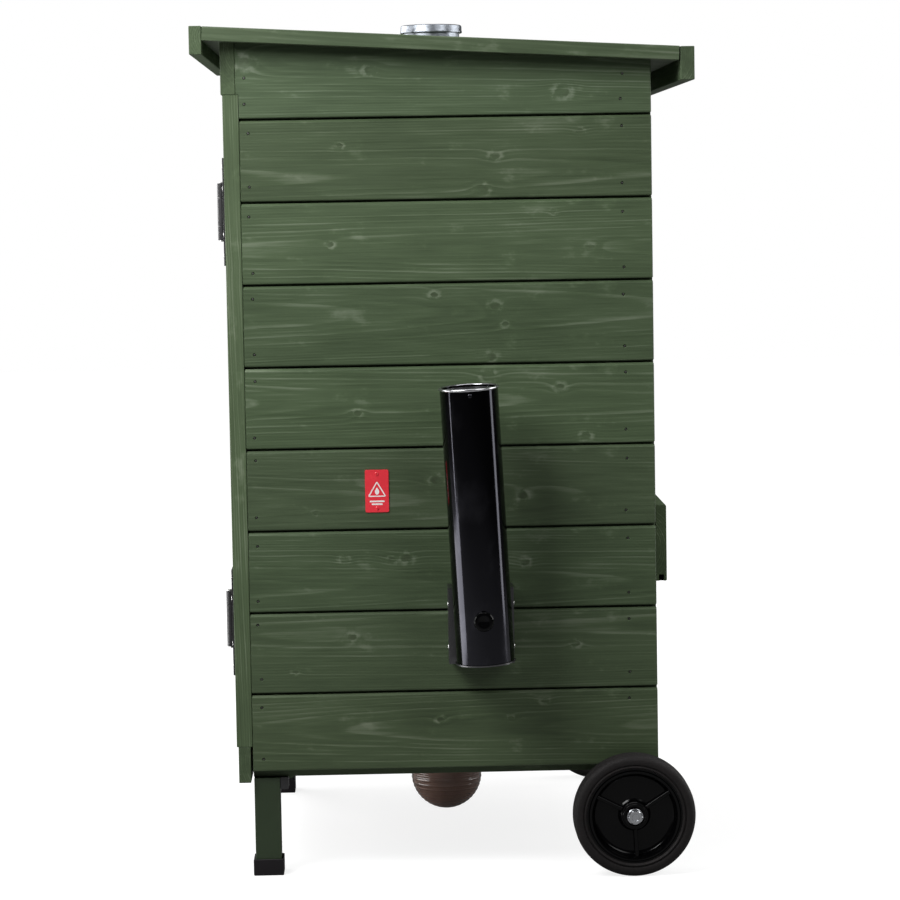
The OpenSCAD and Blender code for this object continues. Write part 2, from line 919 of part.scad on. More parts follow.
module siding_nails() {
    color("darkslategray") placed() both_sides()
        for (i = [0 : plank_joints], y = [stile_back + 12, rear_y - 38], z = plank_nails(i))
            rod_x(1.5, half_w, half_w + clear, y, z);
}

// Heads of the screws and bolts, each on the face that it holds
module fixing_screws() {
    color("silver") placed() {
        for (z = hinge_z, dz = [-58, -30, 30, 58])
            rod_y(3.6, stile_front - plate_t - 1, stile_front - plate_t, hinge_x + 24, z + dz);
        for (z = [486.5, 531.5]) rod_x(2.4, half_w + 1.2, half_w + 2.2, -86.8, z);
        for (z = [housing_z + 21, housing_z + 77])
            rod_y(2.6, housing_y - housing_w / 2 - 1.5, housing_y - housing_w / 2, half_w + 36, z);
        both_sides() rod_x(10.4, wheel_x + wheel_w / 2 - 1, wheel_x + wheel_w / 2 + 1, axle_y, wheel_r);
        both_sides() translate([wheel_x + wheel_w / 2 + 1, axle_y, wheel_r])
            rotate([0, 90, 0]) cylinder(r = 9.8, h = 6.5, $fn = 6);
    }
}

// ---------- electrical parts ----------

module control_box() {
    color("darkslategray") placed() difference() {
        block([box_x, box_y, box_z], [-half_w, box_y + box_w, box_z + box_h]);
        block([box_x + box_t, box_y + box_t, box_z + box_t],
              [-half_w + 1, box_y + box_w - box_t, box_z + box_h - box_t]);
        rod_x(knob_shaft_r + run, box_x - 1, box_x + 10, knob_y, control_z);
        block([box_x - 1, switch_y - 7.5, control_z - 12.5],
              [box_x + 10, switch_y + 7.5, control_z + 12.5]);
        block([box_x - 1, box_y + 55, control_z - 14], [box_x + 1.2, box_y + 101, control_z + 14]);
        block([-half_w - 40, box_y + 20, box_z - 1], [-half_w - 14, box_y + 70, box_z + 10]);
    }
}

// Recessed three-pin inlet in the underside of the control box
module power_inlet() {
    low = [-half_w - 39.7, box_y + 20.3, box_z - 0.5];
    high = [-half_w - 14.3, box_y + 69.7, box_z + 22];
    color("black") placed() {
        difference() {
            block(low, high);
            block([low[0] + 3, low[1] + 8, low[2] - 1], [high[0] - 3, high[1] - 8, high[2] - 4]);
        }
        for (i = [-1 : 1]) block([-half_w - 28, box_y + 44 + i * 9, box_z + 4],
                                 [-half_w - 24, box_y + 46 + i * 9, box_z + 19]);
    }
}

module control_knob() {
    color("black") placed() difference() {
        union() {
            rod_x(14, box_x - knob_len - 0.4, box_x - 0.4, knob_y, control_z);
            rod_x(knob_shaft_r, box_x - 1, box_x + 6, knob_y, control_z);
        }
        block([box_x - knob_len - 1, knob_y - 1, control_z + 5],
              [box_x - knob_len + 0.8, knob_y + 1, control_z + 20]);
    }
}

module power_switch() {
    color("firebrick") placed() translate([box_x + 1, switch_y, control_z]) {
        rotate([0, rocker_tilt, 0]) block([-2.5, -6.8, -10.8], [3.5, 6.8, 10.8]);
        rod_y(1.5, -7.3, 7.3, 0, 0);
    }
}

// ---------- racks ----------

module rack(level) {
    z = level + 1.5 + clear + rack_rod;
    front = rack_back - rack_d;
    step = 2 * rack_half / (rack_wires + 1);
    placed() {
        for (y = [front + rack_rod, rack_back - rack_rod])
            rod_x(rack_rod, -rack_half, rack_half, y, z);
        for (x = [-1, 1]) rod_y(rack_rod, front, rack_back, x * (rack_half - rack_rod), z);
        for (i = [1 : rack_wires])
            rod_y(rack_wire, front + 2, rack_back - 2, -rack_half + i * step, z);
    }
}

module rack_lower() { color("gainsboro") rack(guide_levels[1]); }
module rack_upper() { color("gainsboro") rack(guide_levels[3]); }

// Two flat runners that carry round bars for hanging food
module hanging_frame() {
    z = guide_levels[5] + 1.8;
    front = rack_back - rack_d;
    color("gainsboro") placed() {
        both_sides() block([rack_half - 12, front, z], [rack_half, rack_back, z + 4]);
        for (i = [0 : 4]) rod_x(4, -rack_half + 2, rack_half - 2, front + 25 + i * 80, z + 4);
    }
}

right_siding();
left_siding();
rear_siding();
carcass_frame();
front_header();
front_stiles();
bottom_rail();
floor_board();
roof_boards();
roof_fascias();
cabinet_insulation();
liner_walls();
liner_floor();
liner_ceiling();
rack_guides();
heater_element();
temperature_probe();
flue_collar();
drain_pipe();
bowl_rails();
front_legs();
foot_caps();
chassis_brackets();
axle();
hinge_plates();
hinge_pins();
latch_keeper();
generator_housing();
hopper_tube();
bearing_cap();
smoke_pipe();
feed_motor();
igniter();
warning_plate();
fixing_screws();
siding_nails();
rear_board();
power_inlet();
control_box();
door_boards();
door_frame();
door_insulation();
door_inner_panel();
door_gasket();
hinge_straps();
latch_base();
latch_lever();
right_wheel_rim();
right_wheel_tyre();
left_wheel_rim();
left_wheel_tyre();
damper_cap();
feed_auger();
ash_cup();
drip_bowl();
rack_lower();
rack_upper();
hanging_frame();
control_knob();
power_switch();
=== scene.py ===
"""Electric cabinet smoker: boards, metalwork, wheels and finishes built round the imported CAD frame.

Everything is in metres in the frame's own axes: +Z is up, the door faces -Y and the smoke
generator is on the +X side.
"""

import json
import math
import random

import bmesh
import bpy
from mathutils import Matrix, Vector

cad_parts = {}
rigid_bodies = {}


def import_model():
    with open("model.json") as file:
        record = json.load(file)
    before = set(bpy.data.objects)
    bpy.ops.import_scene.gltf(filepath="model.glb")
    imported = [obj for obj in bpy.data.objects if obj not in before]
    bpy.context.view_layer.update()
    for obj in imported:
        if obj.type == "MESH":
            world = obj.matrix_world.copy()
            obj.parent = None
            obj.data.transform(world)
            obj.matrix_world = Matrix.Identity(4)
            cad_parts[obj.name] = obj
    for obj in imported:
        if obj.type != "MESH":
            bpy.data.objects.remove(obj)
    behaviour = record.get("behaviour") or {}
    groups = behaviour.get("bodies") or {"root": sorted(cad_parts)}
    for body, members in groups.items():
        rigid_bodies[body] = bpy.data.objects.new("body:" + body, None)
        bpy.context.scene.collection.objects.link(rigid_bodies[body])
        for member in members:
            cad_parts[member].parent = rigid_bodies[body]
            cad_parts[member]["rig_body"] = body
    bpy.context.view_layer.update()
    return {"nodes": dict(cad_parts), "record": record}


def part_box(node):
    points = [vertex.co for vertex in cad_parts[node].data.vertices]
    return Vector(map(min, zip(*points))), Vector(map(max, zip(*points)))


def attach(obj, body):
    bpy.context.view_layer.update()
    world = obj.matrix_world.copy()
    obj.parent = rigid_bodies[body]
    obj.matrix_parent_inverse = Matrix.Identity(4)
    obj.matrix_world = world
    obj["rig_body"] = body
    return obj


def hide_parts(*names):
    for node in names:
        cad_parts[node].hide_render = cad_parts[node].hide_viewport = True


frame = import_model()

MM = 0.001
X, Y, Z = Vector((1, 0, 0)), Vector((0, 1, 0)), Vector((0, 0, 1))
TAU = math.tau


def middle(node):
    """Middle of a CAD node's box."""
    low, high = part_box(node)
    return (low + high) / 2


# The flue stands on the cabinet's own centre line, so it marks the cabinet's middle.
CENTRE = Vector((middle("flue_collar").x, middle("flue_collar").y, 0))


def at(x, y, z):
    """A point given in millimetres from the cabinet's middle, at the ground."""
    return CENTRE + Vector((x, y, z)) * MM


# ---------- camera ----------

CAMERA_AT = at(4309.6, -81.2, 891.4)
CAMERA_YAW = 0.0227
CAMERA_PITCH = 0.0824
CAMERA_ROLL = -0.0168
SENSOR = 36
LENS = 122.84


def add_camera():
    """The photograph's own camera."""
    ahead = Vector((
        -math.cos(CAMERA_YAW) * math.cos(CAMERA_PITCH),
        math.sin(CAMERA_YAW) * math.cos(CAMERA_PITCH),
        -math.sin(CAMERA_PITCH),
    ))
    level = ahead.cross(Z).normalized()
    upright = level.cross(ahead)
    right = math.cos(CAMERA_ROLL) * level + math.sin(CAMERA_ROLL) * upright
    up = math.cos(CAMERA_ROLL) * upright - math.sin(CAMERA_ROLL) * level
    data = bpy.data.cameras.new("camera")
    data.sensor_width = SENSOR
    data.lens = LENS
    camera = bpy.data.objects.new("camera", data)
    bpy.context.scene.collection.objects.link(camera)
    turn = Matrix((right, up, -ahead)).transposed().to_4x4()
    camera.matrix_world = Matrix.Translation(CAMERA_AT) @ turn
    bpy.context.scene.camera = camera


add_camera()

# ---------- node trees ----------


class Tree:
    """A material with short calls for its nodes."""

    def __init__(self, name):
        self.material = bpy.data.materials.new(name)
        self.material.use_nodes = True
        self.tree = self.material.node_tree
        self.shader = next(n for n in self.tree.nodes if n.type == "BSDF_PRINCIPLED")

    def plug(self, socket, value):
        if isinstance(value, bpy.types.NodeSocket):
            self.tree.links.new(value, socket)
        else:
            socket.default_value = value

    def node(self, kind, inputs=None, **settings):
        made = self.tree.nodes.new("ShaderNode" + kind)
        for key, value in settings.items():
            setattr(made, key, value)
        for key, value in (inputs or {}).items():
            self.plug(made.inputs[key], value)
        return made

    def place(self):
        """The piece's own coordinates, in metres."""
        return self.node("TexCoord").outputs["Object"]

    def stored(self, name):
        """A vector kept on the mesh."""
        return self.node("Attribute", attribute_name=name).outputs["Vector"]

    def own(self, name, output="Vector"):
        """A number or vector kept on the object."""
        made = self.node("Attribute", attribute_name=name, attribute_type="OBJECT")
        return made.outputs[output]

    def math(self, operation, *values):
        made = self.node("Math", operation=operation)
        for socket, value in zip(made.inputs, values):
            self.plug(socket, value)
        return made.outputs[0]

    def vector(self, operation, a, b):
        made = self.node("VectorMath", operation=operation)
        self.plug(made.inputs[0], a)
        self.plug(made.inputs[1], b)
        return made.outputs[0]

    def length(self, value):
        made = self.node("VectorMath", operation="LENGTH")
        self.plug(made.inputs[0], value)
        return made.outputs["Value"]

    def split(self, value):
        return tuple(self.node("SeparateXYZ", {0: value}).outputs)

    def noise(self, place, stretch, detail=3.0, roughness=0.55):
        """Noise from 0 to 1; stretch is its cycles per metre along each axis."""
        where = self.vector("MULTIPLY", place, stretch)
        inputs = {"Vector": where, "Scale": 1.0, "Detail": detail, "Roughness": roughness}
        return self.node("TexNoise", inputs).outputs[0]

    def cells(self, place, stretch):
        where = self.vector("MULTIPLY", place, stretch)
        return self.node("TexVoronoi", {"Vector": where, "Scale": 1.0}).outputs["Color"]

    def span(self, value, low, high, to_low=0.0, to_high=1.0):
        made = self.node("MapRange", interpolation_type="SMOOTHSTEP")
        for index, item in enumerate((value, low, high, to_low, to_high)):
            self.plug(made.inputs[index], item)
        return made.outputs[0]

    def ramp(self, value, stops):
        made = self.node("ValToRGB", {0: value})
        points = made.color_ramp.elements
        while len(points) < len(stops):
            points.new(0.5)
        for point, (where, colour) in zip(points, stops):
            point.position = where
            point.color = (*colour, 1)
        return made.outputs[0]

    def mix(self, share, a, b, blend="MIX"):
        made = self.node("Mix", data_type="RGBA", blend_type=blend)
        self.plug(made.inputs[0], share)
        self.plug(made.inputs[6], (*a, 1) if isinstance(a, tuple) else a)
        self.plug(made.inputs[7], (*b, 1) if isinstance(b, tuple) else b)
        return made.outputs[2]

    def bump(self, height, depth, strength):
        inputs = {"Height": height, "Distance": depth, "Strength": strength}
        self.plug(self.shader.inputs["Normal"], self.node("Bump", inputs).outputs[0])

    def shade(self, **sockets):
        for name, value in sockets.items():
            if isinstance(value, tuple) and len(value) == 3:
                value = (*value, 1)
            self.plug(self.shader.inputs[name.replace("_", " ")], value)
        return self.material


def scaled(colour, by):
    """A colour made lighter or darker."""
    return tuple(min(1.0, channel * by) for channel in colour)


# ---------- timber ----------

KNOTS = 4              # knots that a board may carry
RING = 2.9 * MM        # from one growth ring to the next

STAIN_DARK = (0.030, 0.046, 0.022)
STAIN_MID = (0.053, 0.079, 0.039)
STAIN_PALE = (0.150, 0.180, 0.126)
STAIN_KNOT = (0.028, 0.034, 0.018)
STAIN_OFFSET = -0.62   # brings the sum of the layers back to the colour ramp's range


def knot_field(t, board):
    """How the knots bend the rings, and their dark cores and pale rims."""
    bend, core, rim = 0.0, 0.0, 0.0
    wander = t.vector("SCALE", t.node("TexNoise", {"Vector": board, "Scale": 160.0}).outputs[1],
                      (0, 0, 0))
    wander.node.inputs["Scale"].default_value = 0.004
    place = t.vector("ADD", board, wander)
    for index in range(KNOTS):
        knot = t.own(f"knot_{index}")
        size = t.split(knot)[2]
        away = t.vector("MULTIPLY", t.vector("SUBTRACT", place, knot), (0.7, 1, 0))
        reach = t.math("DIVIDE", t.length(away), size)
        swell = t.math("EXPONENT", t.math("MULTIPLY", t.math("MULTIPLY", reach, reach), -0.30))
        bend = t.math("MULTIPLY_ADD", swell, t.math("MULTIPLY", size, 0.42), bend)
        core = t.math("MAXIMUM", core, t.span(reach, 0.75, 0.4))
        rim = t.math("MAXIMUM", rim, t.math("MULTIPLY", t.span(reach, 1.7, 0.9),
                                            t.span(reach, 0.55, 0.85)))
    return bend, core, rim


def stained_timber():
    """Softwood under a thin green stain: growth rings cut lengthwise, knots and end grain."""
    t = Tree("stained_timber")
    board, grain = t.stored("board"), t.stored("grain")
    trunk_y, trunk_z = t.split(grain)[1:]
    bend, core, rim = knot_field(t, board)

    wave = t.math("SUBTRACT", t.noise(grain, (1.7, 7, 7), 2.0), 0.53)
    ripple = t.math("SUBTRACT", t.noise(grain, (12, 90, 90), 2.0), 0.5)
    radius = t.math("SQRT", t.math("ADD", t.math("MULTIPLY", trunk_y, trunk_y),
                                   t.math("MULTIPLY", trunk_z, trunk_z)))
    radius = t.math("ADD", radius, bend)
    radius = t.math("MULTIPLY_ADD", wave, 0.012, radius)
    radius = t.math("MULTIPLY_ADD", ripple, 0.0011, radius)
    rings = t.math("DIVIDE", radius, RING)
    growth = t.math("FRACT", rings)
    late = t.math("MULTIPLY", t.span(growth, 0.25, 0.80), t.span(growth, 1.0, 0.80))
    strong = t.node("TexWhiteNoise", {"W": t.math("FLOOR", rings)},
                    noise_dimensions="1D").outputs["Value"]
    strong = t.math("MULTIPLY_ADD", t.math("POWER", strong, 2.0), 0.75, 0.25)
    worn = t.span(t.noise(grain, (9, 50, 50), 2.0), 0.32, 0.62, 0.35, 1.0)
    late = t.math("MULTIPLY", t.math("MULTIPLY", late, strong), worn)

    fibre = t.noise(grain, (7, 290, 290), 4.0, 0.65)
    fine = t.noise(grain, (40, 1500, 1500), 2.0)
    blotch = t.noise(grain, (5, 22, 22), 3.0)
    cloud = t.noise(board, (6, 14, 14), 2.0)
    stroke = t.noise(board, (3.0, 60, 60), 2.0)

    scuff = t.span(t.noise(board, (15, 24, 24), 4.0, 0.65), 0.55, 0.74)
    patchy = t.span(t.noise(board, (70, 70, 70), 3.0), 0.40, 0.66)
    pale_rim = t.math("MULTIPLY", rim, patchy)

    share = STAIN_OFFSET
    for layer, weight in ((late, 0.38), (cloud, 0.45), (fibre, 0.62), (fine, 0.12),
                          (blotch, 0.50), (stroke, 0.16), (scuff, 0.30), (pale_rim, 0.42),
                          (t.stored("end_grain"), -0.10)):
        share = t.math("MULTIPLY_ADD", layer, weight, share)
    colour = t.ramp(share, [(0.0, STAIN_DARK), (0.42, STAIN_MID), (1.0, STAIN_PALE)])
    knot_rings = t.math("MULTIPLY", patchy, 0.45)
    colour = t.mix(t.math("MULTIPLY", core, knot_rings), colour, STAIN_KNOT)
    colour = t.mix(1.0, colour, t.own("tone", "Color"), "MULTIPLY")

    height = t.math("MULTIPLY_ADD", late, 0.6, t.math("MULTIPLY", fibre, 0.9))
    height = t.math("MULTIPLY_ADD", rim, 0.4, height)
    t.bump(height, 0.35 * MM, 0.75)
    rough = t.span(t.math("ADD", fibre, t.math("MULTIPLY", blotch, 0.5)), 0.4, 1.1, 0.46, 0.68)
    return t.shade(Base_Color=colour, Roughness=rough, Specular_IOR_Level=0.26)


def bare_timber():
    """Untreated softwood, for the frames inside."""
    t = Tree("bare_timber")
    place = t.place()
    grain = t.noise(place, (160, 160, 5), 3.0)
    ring = t.noise(place, (46, 46, 1.6), 2.0)
    share = t.math("ADD", t.math("MULTIPLY", grain, 0.5), t.math("MULTIPLY", ring, 0.5))
    colour = t.ramp(share, [(0.3, (0.42, 0.27, 0.13)), (0.52, (0.63, 0.46, 0.27)),
                            (0.75, (0.74, 0.59, 0.38))])
    t.bump(share, 0.4 * MM, 0.6)
    return t.shade(Base_Color=colour, Roughness=t.span(grain, 0.3, 0.7, 0.6, 0.8),
                   Specular_IOR_Level=0.3)


# ---------- metals, paints and plastics ----------


BRUSH_SPREAD = 0.10    # how far the drawn lines move the roughness


def brushed_metal(name, colour, rough, along):
    """Metal with fine drawn lines: along gives the lines' cycles per metre on each axis."""
    t = Tree(name)
    place = t.place()
    lines = t.noise(place, along, 3.0)
    cloud = t.noise(place, (14, 14, 14), 3.0)
    shade = t.mix(cloud, scaled(colour, 0.86), scaled(colour, 1.06))
    roughness = t.math("MULTIPLY_ADD", t.math("ADD", lines, t.math("MULTIPLY", cloud, 0.6)),
                       BRUSH_SPREAD, rough - 0.8 * BRUSH_SPREAD)
    t.bump(lines, 0.03 * MM, 0.5)
    return t.shade(Base_Color=shade, Metallic=1.0, Roughness=roughness)


def polished_tube():
    """Mirror-polished steel whose base colour is made nearly black, a painted dark reflection of the
    surroundings, with a faint drawn line and finger haze.
    """
    t = Tree("polished_tube")
    place = t.place()
    drawn = t.noise(place, (700, 700, 6), 2.0)
    haze = t.noise(place, (26, 26, 16), 4.0)
    smear = t.span(haze, 0.50, 0.75)
    # near-black base colours: a painted dark reflection of the surroundings, not the steel's own
    # colour; the haze lightens them a little
    colour = t.mix(smear, (0.026, 0.026, 0.031), (0.044, 0.044, 0.052))
    rough = t.math("MULTIPLY_ADD", smear, 0.09, 0.075)
    rough = t.math("MULTIPLY_ADD", drawn, 0.03, rough)
    t.bump(drawn, 0.004 * MM, 0.4)
    return t.shade(Base_Color=colour, Metallic=1.0, Roughness=rough)


def galvanised_steel(name, colour):
    """Zinc coating with its crystal spangle."""
    t = Tree(name)
    place = t.place()
    spangle = t.split(t.cells(place, (120, 120, 120)))[0]
    cloud = t.noise(place, (30, 30, 30), 3.0)
    share = t.math("MULTIPLY_ADD", spangle, 0.5, t.math("MULTIPLY", cloud, 0.5))
    shade = t.mix(share, scaled(colour, 0.74), scaled(colour, 1.25))
    t.bump(cloud, 0.15 * MM, 0.4)
    return t.shade(Base_Color=shade, Metallic=1.0, Roughness=t.span(share, 0.2, 0.8, 0.30, 0.48))


def painted(name, colour, rough, peel, metallic=0.0, specular=0.5, coat=0.0):
    """Sprayed paint or moulded plastic: a slight orange peel, dust and colour drift."""
    t = Tree(name)
    place = t.place()
    texture = t.noise(place, (700, 700, 700), 2.0)
    drift = t.noise(place, (22, 22, 22), 4.0)
    dust = t.span(t.noise(place, (60, 60, 60), 5.0), 0.55, 0.85)
    shade = t.mix(drift, scaled(colour, 0.82), scaled(colour, 1.15))
    shade = t.mix(t.math("MULTIPLY", dust, 0.5), shade, tuple(0.002 + 1.35 * c for c in colour))
    roughness = t.math("MULTIPLY_ADD", dust, 0.18, rough)
    roughness = t.math("MULTIPLY_ADD", drift, 0.08, roughness)
    t.bump(texture, peel * MM, 0.35)
    return t.shade(Base_Color=shade, Metallic=metallic, Roughness=roughness,
                   Specular_IOR_Level=specular, Coat_Weight=coat, Coat_Roughness=0.12)


def rubber(name, colour):
    """Gritty rubber with a chalky bloom in patches."""
    t = Tree(name)
    place = t.place()
    grit = t.noise(place, (420, 420, 420), 4.0)
    chalk = t.span(t.noise(place, (34, 34, 34), 4.0), 0.45, 0.8)
    shade = t.mix(t.math("MULTIPLY", chalk, 0.4), colour, scaled(colour, 2.6))
    t.bump(grit, 0.18 * MM, 0.5)
    return t.shade(Base_Color=shade, Roughness=t.span(grit, 0.3, 0.7, 0.62, 0.82),
                   Specular_IOR_Level=0.28)


SPUN_PITCH = 3.2 * MM


def brown_enamel():
    """Glossy stove enamel with fine spun rings under it."""
    t = Tree("brown_enamel")
    place = t.place()
    cloud = t.noise(place, (40, 40, 40), 4.0)
    fleck = t.span(t.noise(place, (900, 900, 900), 2.0), 0.62, 0.74)
    shade = t.mix(cloud, (0.135, 0.076, 0.056), (0.235, 0.135, 0.104))
    shade = t.mix(t.math("MULTIPLY", fleck, 0.3), shade, (0.16, 0.10, 0.080))
    spun = t.math("SINE", t.math("MULTIPLY", t.split(place)[2], TAU / SPUN_PITCH))
    t.bump(t.math("MULTIPLY_ADD", cloud, 0.5, spun), 0.16 * MM, 0.9)
    return t.shade(Base_Color=shade, Roughness=t.span(cloud, 0.3, 0.7, 0.14, 0.22),
                   Specular_IOR_Level=0.6, Coat_Weight=0.6, Coat_Roughness=0.06)


def mineral_wool():
    """Yellow insulation: matted strands in lumps."""
    t = Tree("mineral_wool")
    place = t.place()
    strand = t.noise(place, (380, 380, 900), 5.0)
    lump = t.noise(place, (40, 40, 90), 4.0)
    share = t.math("MULTIPLY_ADD", strand, 0.6, t.math("MULTIPLY", lump, 0.4))
    colour = t.ramp(share, [(0.3, (0.28, 0.22, 0.10)), (0.5, (0.55, 0.47, 0.27)),
                            (0.7, (0.74, 0.68, 0.45))])
    t.bump(share, 2.0 * MM, 0.9)
    return t.shade(Base_Color=colour, Roughness=0.95, Specular_IOR_Level=0.1)


# Colour, roughness, and drawn lines per metre along each axis
METALS = {
    "chamber_steel": ((0.56, 0.56, 0.55), 0.34, (700, 700, 9)),
    "wire_chrome": ((0.62, 0.62, 0.63), 0.16, (200, 200, 200)),
    "element_steel": ((0.16, 0.15, 0.145), 0.42, (60, 60, 60)),
    "generator_steel": ((0.13, 0.13, 0.135), 0.34, (900, 900, 12)),
    "nail_steel": ((0.10, 0.10, 0.095), 0.5, (90, 90, 90)),
    "nut_steel": ((0.42, 0.43, 0.45), 0.24, (300, 300, 300)),
    # a lighter copy of the tube's steel: painted light inside the tube's mouth and a painted
    # highlight on its rim
    "tube_mouth_painted_light": ((0.50, 0.50, 0.52), 0.26, (400, 400, 400)),
}
# Colour, roughness, orange peel in millimetres, metallic, specular level, coat
PAINTS = {
    "black_steel": ((0.014, 0.014, 0.015), 0.38, 0.10),
    "green_steel": ((0.017, 0.030, 0.012), 0.34, 0.10, 0.0, 0.4),
    "black_plastic": ((0.0075, 0.0062, 0.0075), 0.38, 0.05, 0.0, 0.22),
    "box_plastic": ((0.030, 0.032, 0.034), 0.46, 0.16, 0.0, 0.42),
    "wheel_plastic": ((0.0010, 0.0010, 0.0012), 0.10, 0.006, 0.0, 0.13),
    "sign_red": ((0.72, 0.032, 0.048), 0.30, 0.02, 0.0, 0.5, 0.3),
    "sign_white": ((0.78, 0.76, 0.74), 0.34, 0.02),
    "switch_red": ((0.50, 0.020, 0.016), 0.22, 0.02, 0.0, 0.5, 0.4),
    "display_glass": ((0.006, 0.007, 0.008), 0.06, 0.0, 0.0, 0.5, 0.5),
    "igniter_ceramic": ((0.72, 0.70, 0.66), 0.5, 0.08),
    "motor_enamel": ((0.10, 0.12, 0.15), 0.36, 0.06, 0.4),
}
ZINCS = {"galvanised_steel": (0.245, 0.265, 0.295), "zinc_plate": (0.62, 0.62, 0.61)}
RUBBERS = {"tyre_rubber": (0.0055, 0.0042, 0.0042), "gasket_rubber": (0.030, 0.030, 0.031)}

MATERIALS = {"stained_timber": stained_timber(), "bare_timber": bare_timber(),
             "mineral_wool": mineral_wool(), "polished_tube": polished_tube(),
             "brown_enamel": brown_enamel()}
MATERIALS.update({name: brushed_metal(name, *values) for name, values in METALS.items()})
MATERIALS.update({name: painted(name, *values) for name, values in PAINTS.items()})
MATERIALS.update({name: galvanised_steel(name, colour) for name, colour in ZINCS.items()})
MATERIALS.update({name: rubber(name, colour) for name, colour in RUBBERS.items()})

SLOT_OF = {part["node"]: part["material_slot"] for part in frame["record"]["subparts"]}
for cad_name, cad_object in frame["nodes"].items():
    cad_object.data.materials.clear()
    cad_object.data.materials.append(MATERIALS[SLOT_OF[cad_name]])

# ---------- building pieces ----------


def smooth_by_angle(bm, degrees):
    """Smooth shading, broken at edges sharper than the given angle."""
    limit = math.radians(degrees)
    for face in bm.faces:
        face.smooth = True
    for edge in bm.edges:
        edge.smooth = len(edge.link_faces) == 2 and edge.calc_face_angle(0) < limit


def finish_piece(name, bm, body, slot, nodes=(), finish=None, smooth=35, weighted=False):
    """Makes the piece, gives it its finish and lets it ride on its body."""
    bmesh.ops.recalc_face_normals(bm, faces=bm.faces)
    if smooth:
        smooth_by_angle(bm, smooth)
    mesh = bpy.data.meshes.new(name)
    bm.to_mesh(mesh)
    bm.free()
    mesh.materials.append(MATERIALS[finish or slot])
    piece = bpy.data.objects.new(name, mesh)
    bpy.context.scene.collection.objects.link(piece)
    if weighted:
        piece.modifiers.new("even_normals", "WEIGHTED_NORMAL").keep_sharp = True
    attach(piece, body)
    if nodes:
        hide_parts(*nodes)
    return piece


def softened(points, radius, steps=3):
    """A closed outline with each corner rounded; radius is one number or one for each corner."""
    radii = radius if isinstance(radius, (list, tuple)) else [radius] * len(points)
    made = []
    for index, (corner, r) in enumerate(zip(points, radii)):
        here = Vector(corner)
        before = Vector(points[index - 1]) - here
        after = Vector(points[(index + 1) % len(points)]) - here
        reach = min(r / math.tan(before.angle(after) / 2), before.length * 0.49,
                    after.length * 0.49) if r > 0 else 0
        if reach <= 0:
            made.append(here)
            continue
        start, end = here + before.normalized() * reach, here + after.normalized() * reach
        for step in range(steps + 1):
            s = step / steps
            made.append(start * (1 - s) ** 2 + here * 2 * s * (1 - s) + end * s * s)
    return made


def inset(points, distance):
    """A closed outline moved inwards by a small distance."""
    turn = sum(points[i - 1].cross(points[i]) for i in range(len(points)))
    sign = 1 if turn > 0 else -1
    made = []
    for index, here in enumerate(points):
        a = (here - points[index - 1]).normalized()
        b = (points[(index + 1) % len(points)] - here).normalized()
        inward = Vector((-(a.y + b.y), a.x + b.x)) * sign
        made.append(here + inward.normalized() * distance)
    return made


def rectangle(a, b, c, d, radius=0.0, steps=3):
    """An outline with opposite corners at (a, b) and (c, d)."""
    return softened([(a, b), (c, b), (c, d), (a, d)], radius, steps)


def section_from(a, b, *steps):
    """Points of a section, given in millimetres from one of its points."""
    return [(a + da * MM, b + db * MM) for da, db in steps]


def arc(r, height, radius, start, step, count):
    """Points of a section round a circle; start and step are in degrees."""
    angles = [math.radians(start + i * step) for i in range(count)]
    return [(r + radius * math.cos(a), height + radius * math.sin(a)) for a in angles]


def skin(bm, rings):
    """Faces between successive rings of vertices, with the two ends closed."""
    for low, high in zip(rings, rings[1:]):
        for index in range(len(low)):
            after = (index + 1) % len(low)
            bm.faces.new((low[index], low[after], high[after], high[index]))
    bm.faces.new(reversed(rings[0]))
    bm.faces.new(rings[-1])


def extruded(bm, outline, length, place, arris=0.0):
    """An outline of (across, out) points drawn along the first axis of the placing matrix."""
    sections = [(0, arris), (arris, 0), (length - arris, 0), (length, arris)]
    if arris <= 0:
        sections = [(0, 0), (length, 0)]
    rings = []
    for along, shrink in sections:
        shape = inset(outline, shrink) if shrink else outline
        rings.append([bm.verts.new(place @ Vector((along, p.x, p.y))) for p in shape])
    skin(bm, rings)


def rod_between(bm, start, end, radius, steps=24):
    """A round bar from one point to another."""
    outline = [Vector((math.cos(TAU * i / steps), math.sin(TAU * i / steps))) * radius
               for i in range(steps)]
    extruded(bm, outline, (end - start).length, axes(start, end - start))


def axes(origin, along, out=None):
    """A placing matrix: first axis along, third axis out, second between them."""
    along = along.normalized()
    if out is None:
        out = Z if abs(along.z) < 0.9 else X
    out = (out - along * out.dot(along)).normalized()
    across = out.cross(along)
    return Matrix.Translation(origin) @ Matrix((along, across, out)).transposed().to_4x4()


def lathe(bm, profile, place, steps=72, closed=True):
    """Turns (radius, height) points about the placing matrix's first axis."""
    rings = []
    for radius, height in profile:
        if radius < 1e-7:
            rings.append([bm.verts.new(place @ Vector((height, 0, 0)))])
            continue
        rings.append([
            bm.verts.new(place @ Vector((height, radius * math.cos(TAU * i / steps),
                                         radius * math.sin(TAU * i / steps))))
            for i in range(steps)
        ])
    pairs = list(zip(rings, rings[1:]))
    if closed:
        pairs.append((rings[-1], rings[0]))
    for low, high in pairs:
        if len(low) == 1 and len(high) == 1:
            continue
        for i in range(steps):
            j = (i + 1) % steps
            corners = [low[i % len(low)], low[j % len(low)], high[j % len(high)],
                       high[i % len(high)]]
            bm.faces.new(list(dict.fromkeys(corners)))


def box_between(bm, low, high):
    """A plain block, for cutting."""
    corners = [bm.verts.new((x, y, z)) for x in (low.x, high.x) for y in (low.y, high.y)
               for z in (low.z, high.z)]
    for quad in ((0, 1, 3, 2), (4, 6, 7, 5), (0, 4, 5, 1),
                 (2, 3, 7, 6), (0, 2, 6, 4), (1, 5, 7, 3)):
        bm.faces.new([corners[i] for i in quad])


